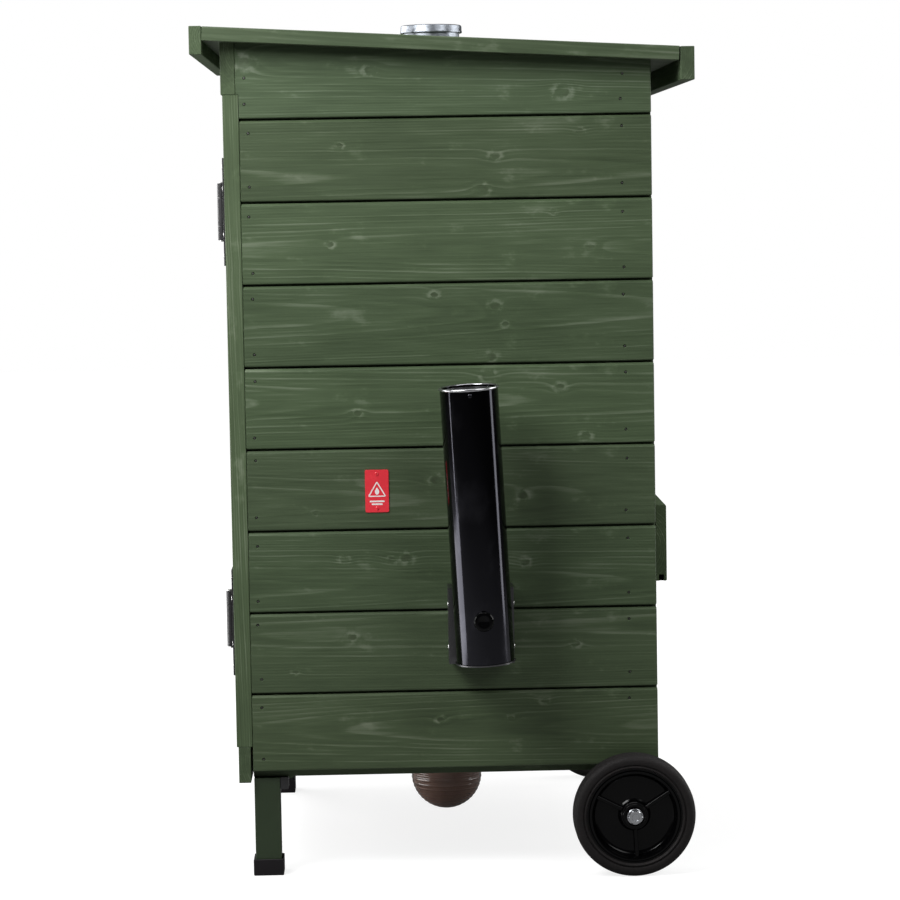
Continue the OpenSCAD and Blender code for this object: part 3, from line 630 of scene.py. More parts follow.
def as_object(name, bm):
    """A passing object for the boolean modifier."""
    bmesh.ops.recalc_face_normals(bm, faces=bm.faces)
    mesh = bpy.data.meshes.new(name)
    bm.to_mesh(mesh)
    made = bpy.data.objects.new(name, mesh)
    bpy.context.scene.collection.objects.link(made)
    return made


def cut(bm, cutter):
    """Takes one closed bmesh out of another and gives back the result."""
    body, tool = as_object("cut_body", bm), as_object("cut_tool", cutter)
    modifier = body.modifiers.new("cut", "BOOLEAN")
    modifier.operation = "DIFFERENCE"
    modifier.solver = "MANIFOLD"
    modifier.object = tool
    graph = bpy.context.evaluated_depsgraph_get()
    result = bmesh.new()
    result.from_mesh(body.evaluated_get(graph).to_mesh())
    bm.free()
    cutter.free()
    for item in (body, tool):
        mesh = item.data
        bpy.data.objects.remove(item)
        bpy.data.meshes.remove(mesh)
    return result


def eased_copy(node, name=None, width=0.6 * MM, sharp=40, segments=2):
    """A piece with the CAD node's exact shape, its sharp edges eased."""
    source = frame["nodes"][node]
    bm = bmesh.new()
    bm.from_mesh(source.data)
    bmesh.ops.remove_doubles(bm, verts=bm.verts, dist=0.01 * MM)
    bmesh.ops.dissolve_limit(bm, angle_limit=math.radians(0.5), verts=bm.verts, edges=bm.edges)
    edges = [e for e in bm.edges
             if len(e.link_faces) == 2 and e.calc_face_angle(0) > math.radians(sharp)]
    bmesh.ops.bevel(bm, geom=edges, offset=width, offset_type="OFFSET", segments=segments,
                    profile=0.5, affect="EDGES", clamp_overlap=True)
    return finish_piece(name or node + "_eased", bm, source["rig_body"], SLOT_OF[node], (node,),
                        weighted=True)


# ---------- boards ----------

ARRIS = 1.1 * MM       # what is taken off a board's edges


def board_piece(name, bm, place, body, node, knots=(), tone=1.0, width=0.1):
    """Stores on the mesh where each point lies on the board and in the tree it was sawn from."""
    rng = random.Random(name)
    bmesh.ops.recalc_face_normals(bm, faces=bm.faces)
    back = place.inverted()
    along = place.to_3x3() @ X
    length = max((back @ v.co).x for v in bm.verts)
    pith_across = width * (0.5 + rng.uniform(-0.25, 0.25))
    pith_depth = rng.uniform(26, 60) * MM
    lean_across = math.radians(rng.uniform(-0.35, 0.35))
    lean_depth = math.radians(rng.choice((-1, 1)) * rng.uniform(0.7, 1.5))
    start = rng.uniform(0, 40)
    where = bm.verts.layers.float_vector.new("board")
    grain = bm.verts.layers.float_vector.new("grain")
    end = bm.loops.layers.float.new("end_grain")
    for vert in bm.verts:
        u, v, w = back @ vert.co
        vert[where] = (u, v, w)
        vert[grain] = (u + start, v - pith_across - math.tan(lean_across) * u,
                       w + pith_depth - math.tan(lean_depth) * (u - length / 2))
    for face in bm.faces:
        value = 1.0 if abs(face.normal.dot(along)) > 0.7 else 0.0
        for loop in face.loops:
            loop[end] = value
    piece = finish_piece(name, bm, body, "stained_timber", smooth=0)
    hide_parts(node)
    chosen = list(knots)
    while len(chosen) < KNOTS:
        size = rng.choice((4, 5, 6, 7.5)) if rng.random() < 0.5 else 0.01
        chosen.append((rng.uniform(0.06, 0.94) * length / MM, rng.uniform(0.12, 0.88) * width / MM,
                       size))
    for index, (u, v, size) in enumerate(chosen[:KNOTS]):
        piece[f"knot_{index}"] = [u * MM, v * MM, size * MM]
    shade = tone * rng.uniform(0.95, 1.05)
    piece["tone"] = [shade * rng.uniform(0.98, 1.02), shade, shade * rng.uniform(0.97, 1.02)]
    return piece


ROOF_FALL = math.radians(3.2)
roof_low, roof_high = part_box("roof_boards")


def roof_top(y):
    """Height of the roof boards' upper face at a distance back."""
    return roof_high.z - (y - roof_low.y) * math.tan(ROOF_FALL)


ROOF_T = (roof_low.z - roof_top(roof_high.y)) * -math.cos(ROOF_FALL)


def trim_under_roof(bm):
    """Cuts away what would stand above the roof boards' lower face."""
    gap = 0.3 * MM
    top = roof_top(roof_low.y) - ROOF_T / math.cos(ROOF_FALL) - gap
    made = bmesh.ops.bisect_plane(
        bm, geom=bm.verts[:] + bm.edges[:] + bm.faces[:], plane_co=(0, roof_low.y, top),
        plane_no=(0, math.sin(ROOF_FALL), math.cos(ROOF_FALL)), clear_outer=True)
    edges = [item for item in made["geom_cut"] if isinstance(item, bmesh.types.BMEdge)]
    bmesh.ops.edgeloop_fill(bm, edges=edges)


def plain_board(name, low, high, along, out, node, body="cabinet", tone=1.0, arris=ARRIS,
                trimmed=False, holes=None, section=None):
    """A rectangular board filling a box, or one with its own section."""
    span = high - low
    across = out.cross(along)
    origin = (low + high) / 2 - along * abs(span.dot(along)) / 2
    origin += out * abs(span.dot(out)) / 2 - across * abs(span.dot(across)) / 2
    length, width, thick = abs(span.dot(along)), abs(span.dot(across)), abs(span.dot(out))
    place = axes(origin, along, out)
    outline = section or rectangle(0, 0, width, -thick, arris)
    bm = bmesh.new()
    extruded(bm, outline, length, place, arris * 0.6)
    if trimmed:
        trim_under_roof(bm)
    if holes:
        bm = cut(bm, holes)
    return board_piece(name, bm, place, body, node, tone=tone, width=width)


# The siding: planks one above the other, each lapped over the one below
JOINT = 244.7 * MM     # height of the lowest joint
PITCH = 107.3 * MM     # from joint to joint
TOP_PLANK = 8
LOWEST = JOINT - PITCH + 3.6 * MM
SHADOW_GAP = 2.8 * MM
CHAMFER = 3 * MM
LIP_R = 2.6 * MM
TONGUE = 8 * MM
TONGUE_UP = 6 * MM
LAP = 10 * MM
NAIL_R = 2.1 * MM
NAIL_DEEP = 1.6 * MM
NAIL_ENDS = (12 * MM, 38 * MM)   # nails' distances from a plank's front and rear end
NAIL_EDGES = (16 * MM, 18 * MM)  # and from its lower and upper edge
FRONT_STEP = 3.9 * MM  # how far the planks' front ends stand behind the top plank's
SMOKE_PLANK = 1        # the right side's plank that the smoke pipe passes through
PROBE_PLANK = 6        # the left side's plank that the probe passes through
PIPE_HOLE, PROBE_HOLE, DRAIN_HOLE = 20.5 * MM, 6 * MM, 12 * MM  # radii

side_low, side_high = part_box("right_siding")
rear_low, rear_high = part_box("rear_siding")
PLANK_T = side_high.x - side_low.x

# Knots on the right side's planks: distance from the front end, height on the plank, radius
RIGHT_KNOTS = {
    8: [(14, 74, 10), (425, 30, 9)],
    7: [(333, 56, 6), (316, 14, 7)],
    6: [(117, 52, 4.5), (407, 90, 4), (455, 42, 6)],
    5: [(330, 76, 7), (343, 52, 4.5), (324, 10, 7)],
    4: [(319, 92, 8), (148, 46, 5), (413, 76, 6), (446, 12, 6)],
    3: [(362, 42, 7), (90, 24, 3.5)],
    2: [(126, 70, 5), (365, 62, 6)],
    1: [(430, 60, 5), (60, 30, 4)],
    0: [(250, 66, 5)],
}
PLANK_TONES = [0.97, 0.96, 0.98, 0.92, 1.08, 0.93, 1.07, 0.94, 1.08]


def plank_span(i):
    """Lowest and highest point of a plank's face."""
    low = LOWEST if i == 0 else JOINT + (i - 1) * PITCH
    high = roof_high.z if i == TOP_PLANK else JOINT + i * PITCH
    return low, high


def plank_outline(i):
    """Section of a plank: (height, depth) with the face at 0."""
    low, high = plank_span(i)
    tall = high - low
    if i == TOP_PLANK:
        points = [(0, 0), (tall, 0), (tall, -PLANK_T)]
        radii = [LIP_R, 0, 0]
    else:
        top = tall - SHADOW_GAP
        points = [(0, 0), (top - CHAMFER, 0), (top, -CHAMFER), (top, TONGUE - PLANK_T),
                  (tall + TONGUE_UP, TONGUE - PLANK_T), (tall + TONGUE_UP, -PLANK_T)]
        radii = [LIP_R, 1.6 * MM, 1.2 * MM, 0, 0.4 * MM, 0.4 * MM]
    if i == 0:
        points.append((0, -PLANK_T))
        radii.append(0.8 * MM)
    else:
        points += [(TONGUE_UP + 2 * MM, -PLANK_T), (TONGUE_UP + 2 * MM, LAP - PLANK_T),
                   (0, LAP - PLANK_T)]
        radii += [0, 0, 0.4 * MM]
    return softened(points, radii)


nail_heads = bmesh.new()


def nail_holes(place, length, tall, rng, ends):
    """Punched nail holes near a plank's two ends, and the heads at their bottoms."""
    holes = bmesh.new()
    out = place.to_3x3() @ Z
    for along in (ends[0], length - ends[1]):
        for up in (NAIL_EDGES[0], tall - NAIL_EDGES[1]):
            spot = place @ Vector((along + rng.uniform(-2, 2) * MM,
                                   up + rng.uniform(-3, 3) * MM, 0))
            turned = axes(spot, out)
            lathe(holes, [(0, -NAIL_DEEP), (NAIL_R * 0.8, -NAIL_DEEP), (NAIL_R, -0.3 * MM),
                          (NAIL_R * 1.3, 0.4 * MM), (0, 0.4 * MM)], turned, 14, closed=False)
            lathe(nail_heads, [(0, -0.9 * MM), (NAIL_R * 0.45, -1.0 * MM),
                               (NAIL_R * 0.7, -1.3 * MM), (NAIL_R * 0.7, -NAIL_DEEP - 1 * MM),
                               (0, -NAIL_DEEP - 1 * MM)], turned, 14, closed=False)
    return holes


def siding(wall, out, start, end, node, knots=None, tones=None):
    """Nine planks on one wall: start and end are the wall's two lower outer corners."""
    run = end - start
    for i in range(TOP_PLANK + 1):
        name = f"{wall}_plank_{i + 1}"
        low, high = plank_span(i)
        origin, length = start + Z * low, run.length
        if i == TOP_PLANK and wall != "rear":
            length += FRONT_STEP
            if wall == "right":
                origin = origin - Y * FRONT_STEP
        place = axes(origin, run, out)
        bm = bmesh.new()
        extruded(bm, plank_outline(i), length, place, ARRIS)
        if i == TOP_PLANK:
            trim_under_roof(bm)
            high = min(v.co.z for v in bm.verts if v.co.z > low + 40 * MM)
            if wall != "rear":
                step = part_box("front_header")[0].z + 0.3 * MM
                beside = Vector((start.x, plank_front, step))
                notch = bmesh.new()
                box_between(notch, beside - Vector((40, 20, 60)) * MM, beside + X * 40 * MM)
                bm = cut(bm, notch)
        ends = NAIL_ENDS[::-1] if wall == "left" else NAIL_ENDS
        holes = nail_holes(place, length, high - low, random.Random("nails " + name), ends)
        if wall == "right" and i == SMOKE_PLANK:
            pipe = middle("smoke_pipe")
            rod_between(holes, pipe - X * 50 * MM, pipe + X * 100 * MM, PIPE_HOLE, 48)
        if wall == "left" and i == PROBE_PLANK:
            probe = middle("temperature_probe")
            face = Vector((side_mirror.x, probe.y, probe.z))
            rod_between(holes, face - X * 10 * MM, face + X * 40 * MM, PROBE_HOLE)
        bm = cut(bm, holes)
        board_piece(name, bm, place, "cabinet", node, knots[i] if knots else (),
                    tones[i] if tones else 1.0, width=PITCH)


side_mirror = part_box("left_siding")[0]
plank_front = side_low.y + FRONT_STEP
siding("right", X, Vector((side_high.x, plank_front, 0)), Vector((side_high.x, side_high.y, 0)),
       "right_siding", RIGHT_KNOTS, PLANK_TONES)
siding("left", -X, Vector((side_mirror.x, side_high.y, 0)),
       Vector((side_mirror.x, plank_front, 0)), "left_siding")
siding("rear", Y, Vector((rear_high.x, rear_high.y, 0)), Vector((rear_low.x, rear_high.y, 0)),
       "rear_siding")
finish_piece("nail_heads", nail_heads, "cabinet", "nail_steel", ("siding_nails",))


STILE_WIDE = 50 * MM
FRONT_FASCIA = (16 * MM, 36.5 * MM)     # thickness and height
REAR_FASCIA = (18 * MM, 43 * MM)
FLUE_HOLE = 39.6 * MM                   # radius
ROOF_BOARDS, DOOR_BOARDS = 7, 8
BATTENS = {"right": (190, 230), "left": (-230, -190)}   # from the middle, in millimetres


def front_frame():
    """The header over the door, the stiles beside it and the rail below it."""
    low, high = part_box("front_header")
    plain_board("header_board", low, Vector((high.x, high.y, roof_high.z)), X, -Y, "front_header",
                trimmed=True, tone=1.05)
    low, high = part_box("front_stiles")
    plain_board("right_stile", Vector((high.x - STILE_WIDE, low.y, low.z)), high, Z, -Y,
                "front_stiles", tone=1.12)
    plain_board("left_stile", low, Vector((low.x + STILE_WIDE, high.y, high.z)), Z, -Y,
                "front_stiles")
    low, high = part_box("bottom_rail")
    plain_board("bottom_rail_board", low, high, X, -Y, "bottom_rail")


def roof():
    """Two fascias and the boards between them, sloping down to the rear."""
    low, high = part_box("roof_fascias")
    thick, tall = FRONT_FASCIA
    plain_board("front_fascia", Vector((low.x, low.y, high.z - tall)),
                Vector((high.x, low.y + thick, high.z)), X, -Y, "roof_fascias", tone=1.08)
    thick, tall = REAR_FASCIA
    plain_board("rear_fascia", Vector((low.x, high.y - thick, low.z)),
                Vector((high.x, high.y, low.z + tall)), -X, Y, "roof_fascias")
    pitch = (roof_high.x - roof_low.x) / ROOF_BOARDS
    wide = pitch - 0.8 * MM
    down = Vector((0, math.cos(ROOF_FALL), -math.sin(ROOF_FALL)))
    normal = Vector((0, math.sin(ROOF_FALL), math.cos(ROOF_FALL)))
    length = (roof_high.y - roof_low.y) / math.cos(ROOF_FALL) - 1.2 * MM
    flue = middle("flue_collar")
    for i in range(ROOF_BOARDS):
        corner = Vector((roof_low.x + (i + 1) * pitch - 0.4 * MM, roof_low.y + 0.6 * MM, 0))
        corner.z = roof_top(corner.y)
        place = axes(corner, down, normal)
        bm = bmesh.new()
        extruded(bm, rectangle(0, 0, wide, -ROOF_T, [1.6 * MM, 1.6 * MM, 0.5 * MM, 0.5 * MM]),
                 length, place, 0.5 * MM)
        if abs(corner.x - wide / 2 - flue.x) < wide / 2 + FLUE_HOLE:
            hole = bmesh.new()
            rod_between(hole, flue - Z * 100 * MM, flue + Z * 100 * MM, FLUE_HOLE, 72)
            bm = cut(bm, hole)
        board_piece(f"roof_board_{i + 1}", bm, place, "cabinet", "roof_boards", width=wide,
                    tone=0.98)


def door_boards():
    """The door's level boards, with a narrow gap between each two."""
    low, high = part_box("door_boards")
    pitch = (high.z - low.z) / DOOR_BOARDS
    for i in range(DOOR_BOARDS):
        bottom = low.z + i * pitch + (1.5 * MM if i else 0)
        plain_board(f"door_board_{i + 1}", Vector((low.x, low.y, bottom)),
                    Vector((high.x, high.y, low.z + (i + 1) * pitch)), X, -Y, "door_boards",
                    "door", arris=1.4 * MM)


def back_board():
    """The board across the back, with a groove under its lower edge, on two battens."""
    low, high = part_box("rear_board")
    front = low.y + 3 * MM
    thick, tall = high.y - front, high.z - low.z
    groove_a, groove_b, deep = 4.5 * MM, 10 * MM, 8 * MM
    outline = softened(
        [(0, 0), (tall, 0), (tall, -thick), (0, -thick), (0, groove_a - thick),
         (deep, groove_a - thick), (deep, groove_b - thick), (0, groove_b - thick)],
        [2 * MM, 2.5 * MM, 2 * MM, 0.6 * MM, 0.4 * MM, 0.2 * MM, 0.2 * MM, 0.4 * MM])
    plain_board("back_board", Vector((low.x, front, low.z)), high, -X, Y, "rear_board",
                section=outline, tone=1.5)
    for side, (near, far) in BATTENS.items():
        plain_board(f"{side}_batten", Vector((CENTRE.x + near * MM, low.y, low.z + 12 * MM)),
                    Vector((CENTRE.x + far * MM, front + 0.4 * MM, low.z + 90 * MM)), Z, Y,
                    "rear_board")


def base_board():
    """The cabinet's floor, with a hole for the drain pipe."""
    low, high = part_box("floor_board")
    drain = bmesh.new()
    centre = middle("drain_pipe")
    rod_between(drain, Vector((centre.x, centre.y, low.z - 10 * MM)),
                Vector((centre.x, centre.y, high.z + 10 * MM)), DRAIN_HOLE, 48)
    plain_board("base_board", low, high, Y, Z, "floor_board", holes=drain, tone=0.85)


front_frame()
base_board()
roof()
door_boards()
back_board()

# ---------- smoke generator ----------

TUBE_FORWARD = math.radians(2.7)
TUBE_OUTWARD = math.radians(2.0)
TUBE_R = 37.5 * MM
TUBE_WALL = 1.5 * MM
TUBE_LEN = 356 * MM
TUBE_UP = Vector((math.cos(TUBE_FORWARD) * math.sin(TUBE_OUTWARD), -math.sin(TUBE_FORWARD),
                  math.cos(TUBE_FORWARD) * math.cos(TUBE_OUTWARD)))
TUBE_FOOT = middle("ash_cup") - TUBE_UP * 3 * MM
BEAD = 1.9 * MM        # radius of the rolled rim
SMOKE_PIPE_Z = 329 * MM
RIVET_UP = 347 * MM    # from the tube's foot


def hopper_tube():
    """Pellet tube with a rolled rim and its four holes, and a lighter steel lining inside its mouth
    and over the rim: painted light on the inner wall and a painted highlight on the rim.
    """
    place = axes(TUBE_FOOT, TUBE_UP, X)
    inner = TUBE_R - TUBE_WALL
    top = TUBE_LEN - BEAD
    bead_r = TUBE_R + 1.5 * MM - BEAD
    steps = 36
    profile = [(inner, 0.4 * MM), (inner + 0.4 * MM, 0), (TUBE_R - 0.4 * MM, 0), (TUBE_R, 0.4 * MM)]
    profile += [(TUBE_R, top * i / steps) for i in range(1, steps)]
    profile += [(TUBE_R, top - BEAD)]
    profile += arc(bead_r, top, BEAD, -70, 20, 15)
    profile += [(inner, top - 1.2 * BEAD)]
    profile += [(inner, top * i / steps) for i in range(steps - 1, 0, -1)]
    bm = bmesh.new()
    lathe(bm, profile, place, 128)
    auger, igniter, pipe = middle("feed_auger"), middle("igniter"), middle("smoke_pipe")
    holes = bmesh.new()
    for y, z, start, end, radius in ((auger.y, auger.z, -60, 0, 6), (auger.y, auger.z, 1, 60, 8.1),
                                     (igniter.y, igniter.z, -60, -1, 5.2),
                                     (pipe.y, SMOKE_PIPE_Z, -60, -2, 10)):
        rod_between(holes, Vector((TUBE_FOOT.x + start * MM, y, z)),
                    Vector((TUBE_FOOT.x + end * MM, y, z)), radius * MM, 32)
    bm = cut(bm, holes)
    finish_piece("hopper_tube_polished", bm, "cabinet", "polished_tube", ("hopper_tube",),
                 smooth=25)

    # A lighter copy of the tube's steel inside the mouth and over the rolled rim: painted light on
    # the inner wall and a painted highlight on the rim.
    mouth = bmesh.new()
    lining, under = inner - 0.1 * MM, top - 45 * MM
    profile = [(lining, under), (lining, top)]
    profile += arc(bead_r, top, BEAD + 0.08 * MM, 160, -20, 15)
    profile += [(inner + 0.5 * MM, top - BEAD), (inner + 0.5 * MM, under)]
    lathe(mouth, profile, place, 128)
    finish_piece("hopper_tube_painted_light_mouth", mouth, "cabinet", "polished_tube", ("hopper_tube",),
                 finish="tube_mouth_painted_light")


def tube_fittings():
    """The rivet under the tube's rim and the auger's bearing cap."""
    out = (X - TUBE_UP * X.dot(TUBE_UP)).normalized()
    rivet = TUBE_FOOT + TUBE_UP * RIVET_UP + out * TUBE_R
    bm = bmesh.new()
    lathe(bm, section_from(0, 0, (0, 1.3), (1.4, 1.1), (2.6, 0.3), (2.7, -0.4), (0, -0.4)),
          axes(rivet, out), 24, closed=False)
    finish_piece("tube_rivet", bm, "cabinet", "polished_tube")

    centre = middle("bearing_cap")
    centre.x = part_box("bearing_cap")[1].x - 4 * MM
    bm = bmesh.new()
    lathe(bm, section_from(0, 0, (0, 3.1), (4, 3.1), (4.6, 3.5), (7.5, 3.9), (9.5, 4), (11.6, 3.5),
                           (12.7, 2.2), (13, 0.8), (12.6, 0), (8, 0), (8, -16), (5.05, -16),
                           (5.05, -8), (0, -8)), axes(centre, X), 64, closed=False)
    finish_piece("bearing_cap_moulded", bm, "cabinet", "black_plastic", ("bearing_cap",),
                 finish="wheel_plastic")


hopper_tube()
tube_fittings()
eased_copy("generator_housing", "generator_housing_folded", 1.2 * MM)

# ---------- fixings ----------


def screw_head(bm, spot, out, radius, tall):
    """A pan head with a cross recess."""
    steps, rings = 32, 7
    place = axes(spot, out)
    centre = bm.verts.new(place @ Vector((tall * 0.35, 0, 0)))
    loops = []
    for ring in range(1, rings + 1):
        share = ring / rings
        loop = []
        for i in range(steps):
            angle = TAU * i / steps
            y, z = share * math.cos(angle), share * math.sin(angle)
            height = tall * math.sqrt(max(0.0, 1 - share ** 3))
            if share < 0.62 and min(abs(y), abs(z)) < 0.15:
                height -= tall * 0.6
            loop.append(bm.verts.new(place @ Vector((height, y * radius, z * radius))))
        loops.append(loop)
    base = [bm.verts.new(place @ Vector((-0.3 * MM, radius * math.cos(TAU * i / steps),
                                         radius * math.sin(TAU * i / steps))))
            for i in range(steps)]
    loops.append(base)
    for i in range(steps):
        bm.faces.new((centre, loops[0][i], loops[0][(i + 1) % steps]))
    for inner, outer in zip(loops, loops[1:]):
        for i in range(steps):
            j = (i + 1) % steps
            bm.faces.new((inner[i], outer[i], outer[j], inner[j]))
    bm.faces.new(reversed(base))


NUT_R = 9.8 * MM
HINGE_HEIGHTS = [338 * MM, 876 * MM]
HINGE_T = 2.5 * MM
STILE_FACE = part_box("front_stiles")[0].y
DOOR_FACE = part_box("door_boards")[0].y
PLATE_X = 284 * MM                  # the hinge plates' screws stand this far from the middle
PLATE_SCREWS = (-58, -30, 30, 58)   # and this far from the hinge's own height
STRAP_SCREWS = (234, 182, 110, 45)  # the straps' screws, from the middle
HOUSING_SCREWS = (21, 77)           # above the housing's foot
HOUSING_OUT = 36 * MM               # and this far out from the cabinet


def wheel_bolt(bm, centre, out):
    """Washer and domed hexagon nut on the axle's end."""
    place = axes(centre, out)
    lathe(bm, section_from(0, 0, (0, 1), (10, 1), (10.4, 0.7), (10.4, -1), (0, -1)), place, 48,
          closed=False)
    hexagon = [Vector((math.cos(TAU * i / 6), math.sin(TAU * i / 6))) * NUT_R for i in range(6)]
    rings = []
    for height, size in ((0.9, 0.95), (1.4, 1.0), (6.2, 1.0), (7.2, 0.86), (7.3, 0.5), (6.6, 0.46)):
        ring = []
        for a, b in zip(hexagon, hexagon[1:] + hexagon[:1]):
            for share in (0, 0.25, 0.5, 0.75):
                point = a.lerp(b, share) * size
                if size < 0.9:
                    point = point.normalized() * NUT_R * size
                ring.append(bm.verts.new(place @ Vector((height * MM, point.x, point.y))))
        rings.append(ring)
    skin(bm, rings)


def fixings():
    """Every visible screw and bolt, apart from the control box's."""
    screws, bolts, strap_screws, plate_screws = (bmesh.new() for _ in range(4))
    for z in HINGE_HEIGHTS:
        for dz in PLATE_SCREWS:
            spot = Vector((CENTRE.x + PLATE_X, STILE_FACE - HINGE_T, z + dz * MM))
            screw_head(screws, spot, -Y, 4.0 * MM, 1.3 * MM)
        for dx in STRAP_SCREWS:
            spot = Vector((CENTRE.x + dx * MM, DOOR_FACE - HINGE_T, z))
            screw_head(strap_screws, spot, -Y, 4.0 * MM, 1.3 * MM)
    finish_piece("strap_screws", strap_screws, "door", "black_steel")

    low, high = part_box("warning_plate")
    for z in (low.z + 5.5 * MM, high.z - 5.5 * MM):
        screw_head(plate_screws, Vector((high.x, (low.y + high.y) / 2, z)), X, 2.5 * MM, 1.0 * MM)
    finish_piece("plate_screws", plate_screws, "cabinet", "zinc_plate", ("fixing_screws",),
                 finish="sign_red")

    low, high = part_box("generator_housing")
    for dz in HOUSING_SCREWS:
        for y, out in ((low.y, -Y), (high.y, Y)):
            spot = Vector((low.x + HOUSING_OUT, y, low.z + dz * MM))
            screw_head(screws, spot, out, 2.9 * MM, 1.4 * MM)
    finish_piece("fixing_screw_heads", screws, "cabinet", "zinc_plate", ("fixing_screws",))

    axle = middle("axle")
    wheel_bolt(bolts, Vector((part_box("right_wheel_tyre")[1].x, axle.y, axle.z)), X)
    wheel_bolt(bolts, Vector((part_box("left_wheel_tyre")[0].x, axle.y, axle.z)), -X)
    finish_piece("wheel_bolts", bolts, "cabinet", "zinc_plate", ("fixing_screws",),
                 finish="nut_steel", smooth=20)


fixings()
for hinge_node in ("hinge_plates", "hinge_straps", "hinge_pins"):
    eased_copy(hinge_node, None, 0.5 * MM)
for latch_node in ("latch_base", "latch_lever", "latch_keeper"):
    eased_copy(latch_node, None, 0.7 * MM)

# ---------- sign ----------


def warning_sign():
    """A plain red plate with a drop in a triangle and two bars: no wording."""
    low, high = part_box("warning_plate")
    wide, tall, thick = high.y - low.y, high.z - low.z, high.x - low.x
    buried, proud = thick - 0.1 * MM, thick + 0.12 * MM

    def ring(bm, outline, depth):
        return [bm.verts.new((low.x + depth, low.y + p.x, low.z + p.y)) for p in outline]

    def flat(bm, outline, start, end):
        skin(bm, [ring(bm, outline, start), ring(bm, outline, end)])

    bm = bmesh.new()
    outer = rectangle(0, 0, wide, tall, 2.6 * MM, 6)
    flat(bm, outer, 0, thick - 0.25 * MM)
    flat(bm, inset(outer, 0.25 * MM), thick - 0.25 * MM, thick)
    finish_piece("warning_plate_red", bm, "cabinet", "sign_red", ("warning_plate",))

    marks = bmesh.new()
    mid, base = wide / 2, 20.5 * MM
    outline = softened(section_from(mid, base, (-12.2, 0), (12.2, 0), (0, 21)), 1.6 * MM, 4)
    inner = inset(outline, 1.5 * MM)
    rings = [ring(marks, outline, buried), ring(marks, outline, proud),
             ring(marks, inner, proud), ring(marks, inner, buried)]
    for a, b in zip(rings, rings[1:] + rings[:1]):
        for i in range(len(a)):
            j = (i + 1) % len(a)
            marks.faces.new((a[i], a[j], b[j], b[i]))

    drop = []
    for i in range(20):
        a = TAU * i / 20
        taper = 1 - 0.6 * max(0, -math.cos(a))
        drop.append(Vector((mid + math.sin(a) * 2.9 * MM * taper,
                            base + 7.4 * MM - math.cos(a) * 4.6 * MM)))
    flat(marks, drop, buried, proud)
    for height, share in ((14.5, 0.62), (10.8, 0.46)):
        half = wide * share / 2
        flat(marks, rectangle(mid - half, (height - 1) * MM, mid + half, (height + 1) * MM,
                              0.5 * MM), buried, proud)
    finish_piece("warning_plate_marks", marks, "cabinet", "sign_red", finish="sign_white")


warning_sign()

# ---------- wheels ----------


TYRE_BORE = 62.6 * MM  # radius, as are the next two
DISH_R = 54.6 * MM     # the rim's inner wall
HUB_R = 18.4 * MM
WEB_HALF = 3 * MM      # half the thickness of the web between rim and hub
FILLET = 7 * MM        # where the web meets the dish's wall
SHOULDER = 8 * MM      # radius of the tyre's outer edges
RIB_ANGLES = (33, 153, 273)
RIB_LEN = 37.6 * MM


def mirrored(profile):
    """A half section of (radius, half width) points, completed on the other side."""
    return profile + [(r, -x) for r, x in reversed(profile)]


def wheel(side):
    """Rubber tyre with a grooved wall and tread, on a moulded rim with three ribs."""
    tyre_low, tyre_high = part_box(f"{side}_wheel_tyre")
    centre = (tyre_low + tyre_high) / 2
    radius = (tyre_high.z - tyre_low.z) / 2
    half = (tyre_high.x - tyre_low.x) / 2
    out = X if side == "right" else -X
    place = axes(centre, out)

    section = section_from(TYRE_BORE, half, (0, -3), (0.8, -1.2), (2.2, -0.2), (3.4, -0.6),
                           (4.1, -1.9), (4.9, -1.9), (5.6, -0.5), (7.2, 0))
    section += arc(radius - SHOULDER, half - SHOULDER, SHOULDER, 80, -14, 6)
    for groove in (half - 8.5 * MM, 3.6 * MM):
        section += section_from(radius, groove, (0, 1), (-1.3, 0.4), (-1.3, -0.4), (0, -1))
    bm = bmesh.new()
    lathe(bm, mirrored(section), place, 120)
    finish_piece(f"{side}_tyre", bm, f"{side}_wheel", "tyre_rubber", (f"{side}_wheel_tyre",))

    rim = half - 3 * MM
    section = section_from(0, rim, (6.05, -3), (12.2, -3), (12.5, -0.4), (12.9, 0), (15.5, 0),
                           (15.9, -0.4), (16.1, -1.6), (17.6, -1.6), (HUB_R / MM, -2.4))
    section += section_from(HUB_R, 0, (1.2, 4.5), (3, 3))
    section += arc(DISH_R - FILLET, WEB_HALF + FILLET, FILLET, -90, 11.25, 9)
    section += section_from(0, rim, (55, -2.6), (55.4, -1.2), (56.1, -0.3), (57, 0), (59.2, 0),
                            (60.6, -1.2), (62.4, -1.2), (62.5, -1.6))
    bm = bmesh.new()
    lathe(bm, mirrored(section), place, 120)
    finish_piece(f"{side}_rim", bm, f"{side}_wheel", "wheel_plastic", (f"{side}_wheel_rim",),
                 smooth=32)

    ribs = bmesh.new()
    rib_top = rim - 7.5 * MM
    for degrees in RIB_ANGLES:
        turn = math.radians(degrees)
        away = Vector((0, math.cos(turn), math.sin(turn)))
        for face in (1, -1):
            start = centre + away * (HUB_R - 1 * MM) + out * face * 2 * MM
            outline = softened([(-3.2 * MM, 0), (3.2 * MM, 0), (2.4 * MM, rib_top),
                                (-2.4 * MM, rib_top)], [0, 0, 1.2 * MM, 1.2 * MM])
            extruded(ribs, outline, RIB_LEN, axes(start, away, out * face))
    finish_piece(f"{side}_rim_ribs", ribs, f"{side}_wheel", "wheel_plastic",
                 (f"{side}_wheel_rim",))


wheel("right")
wheel("left")

# ---------- legs and brackets ----------

eased_copy("front_legs", "front_legs_tube", 2.2 * MM, segments=3)
eased_copy("foot_caps", "foot_caps_moulded", 2.6 * MM, segments=3)
eased_copy("chassis_brackets", "chassis_brackets_folded", 0.7 * MM)
eased_copy("bowl_rails", "bowl_rails_folded", 0.4 * MM)

# ---------- drip bowl ----------


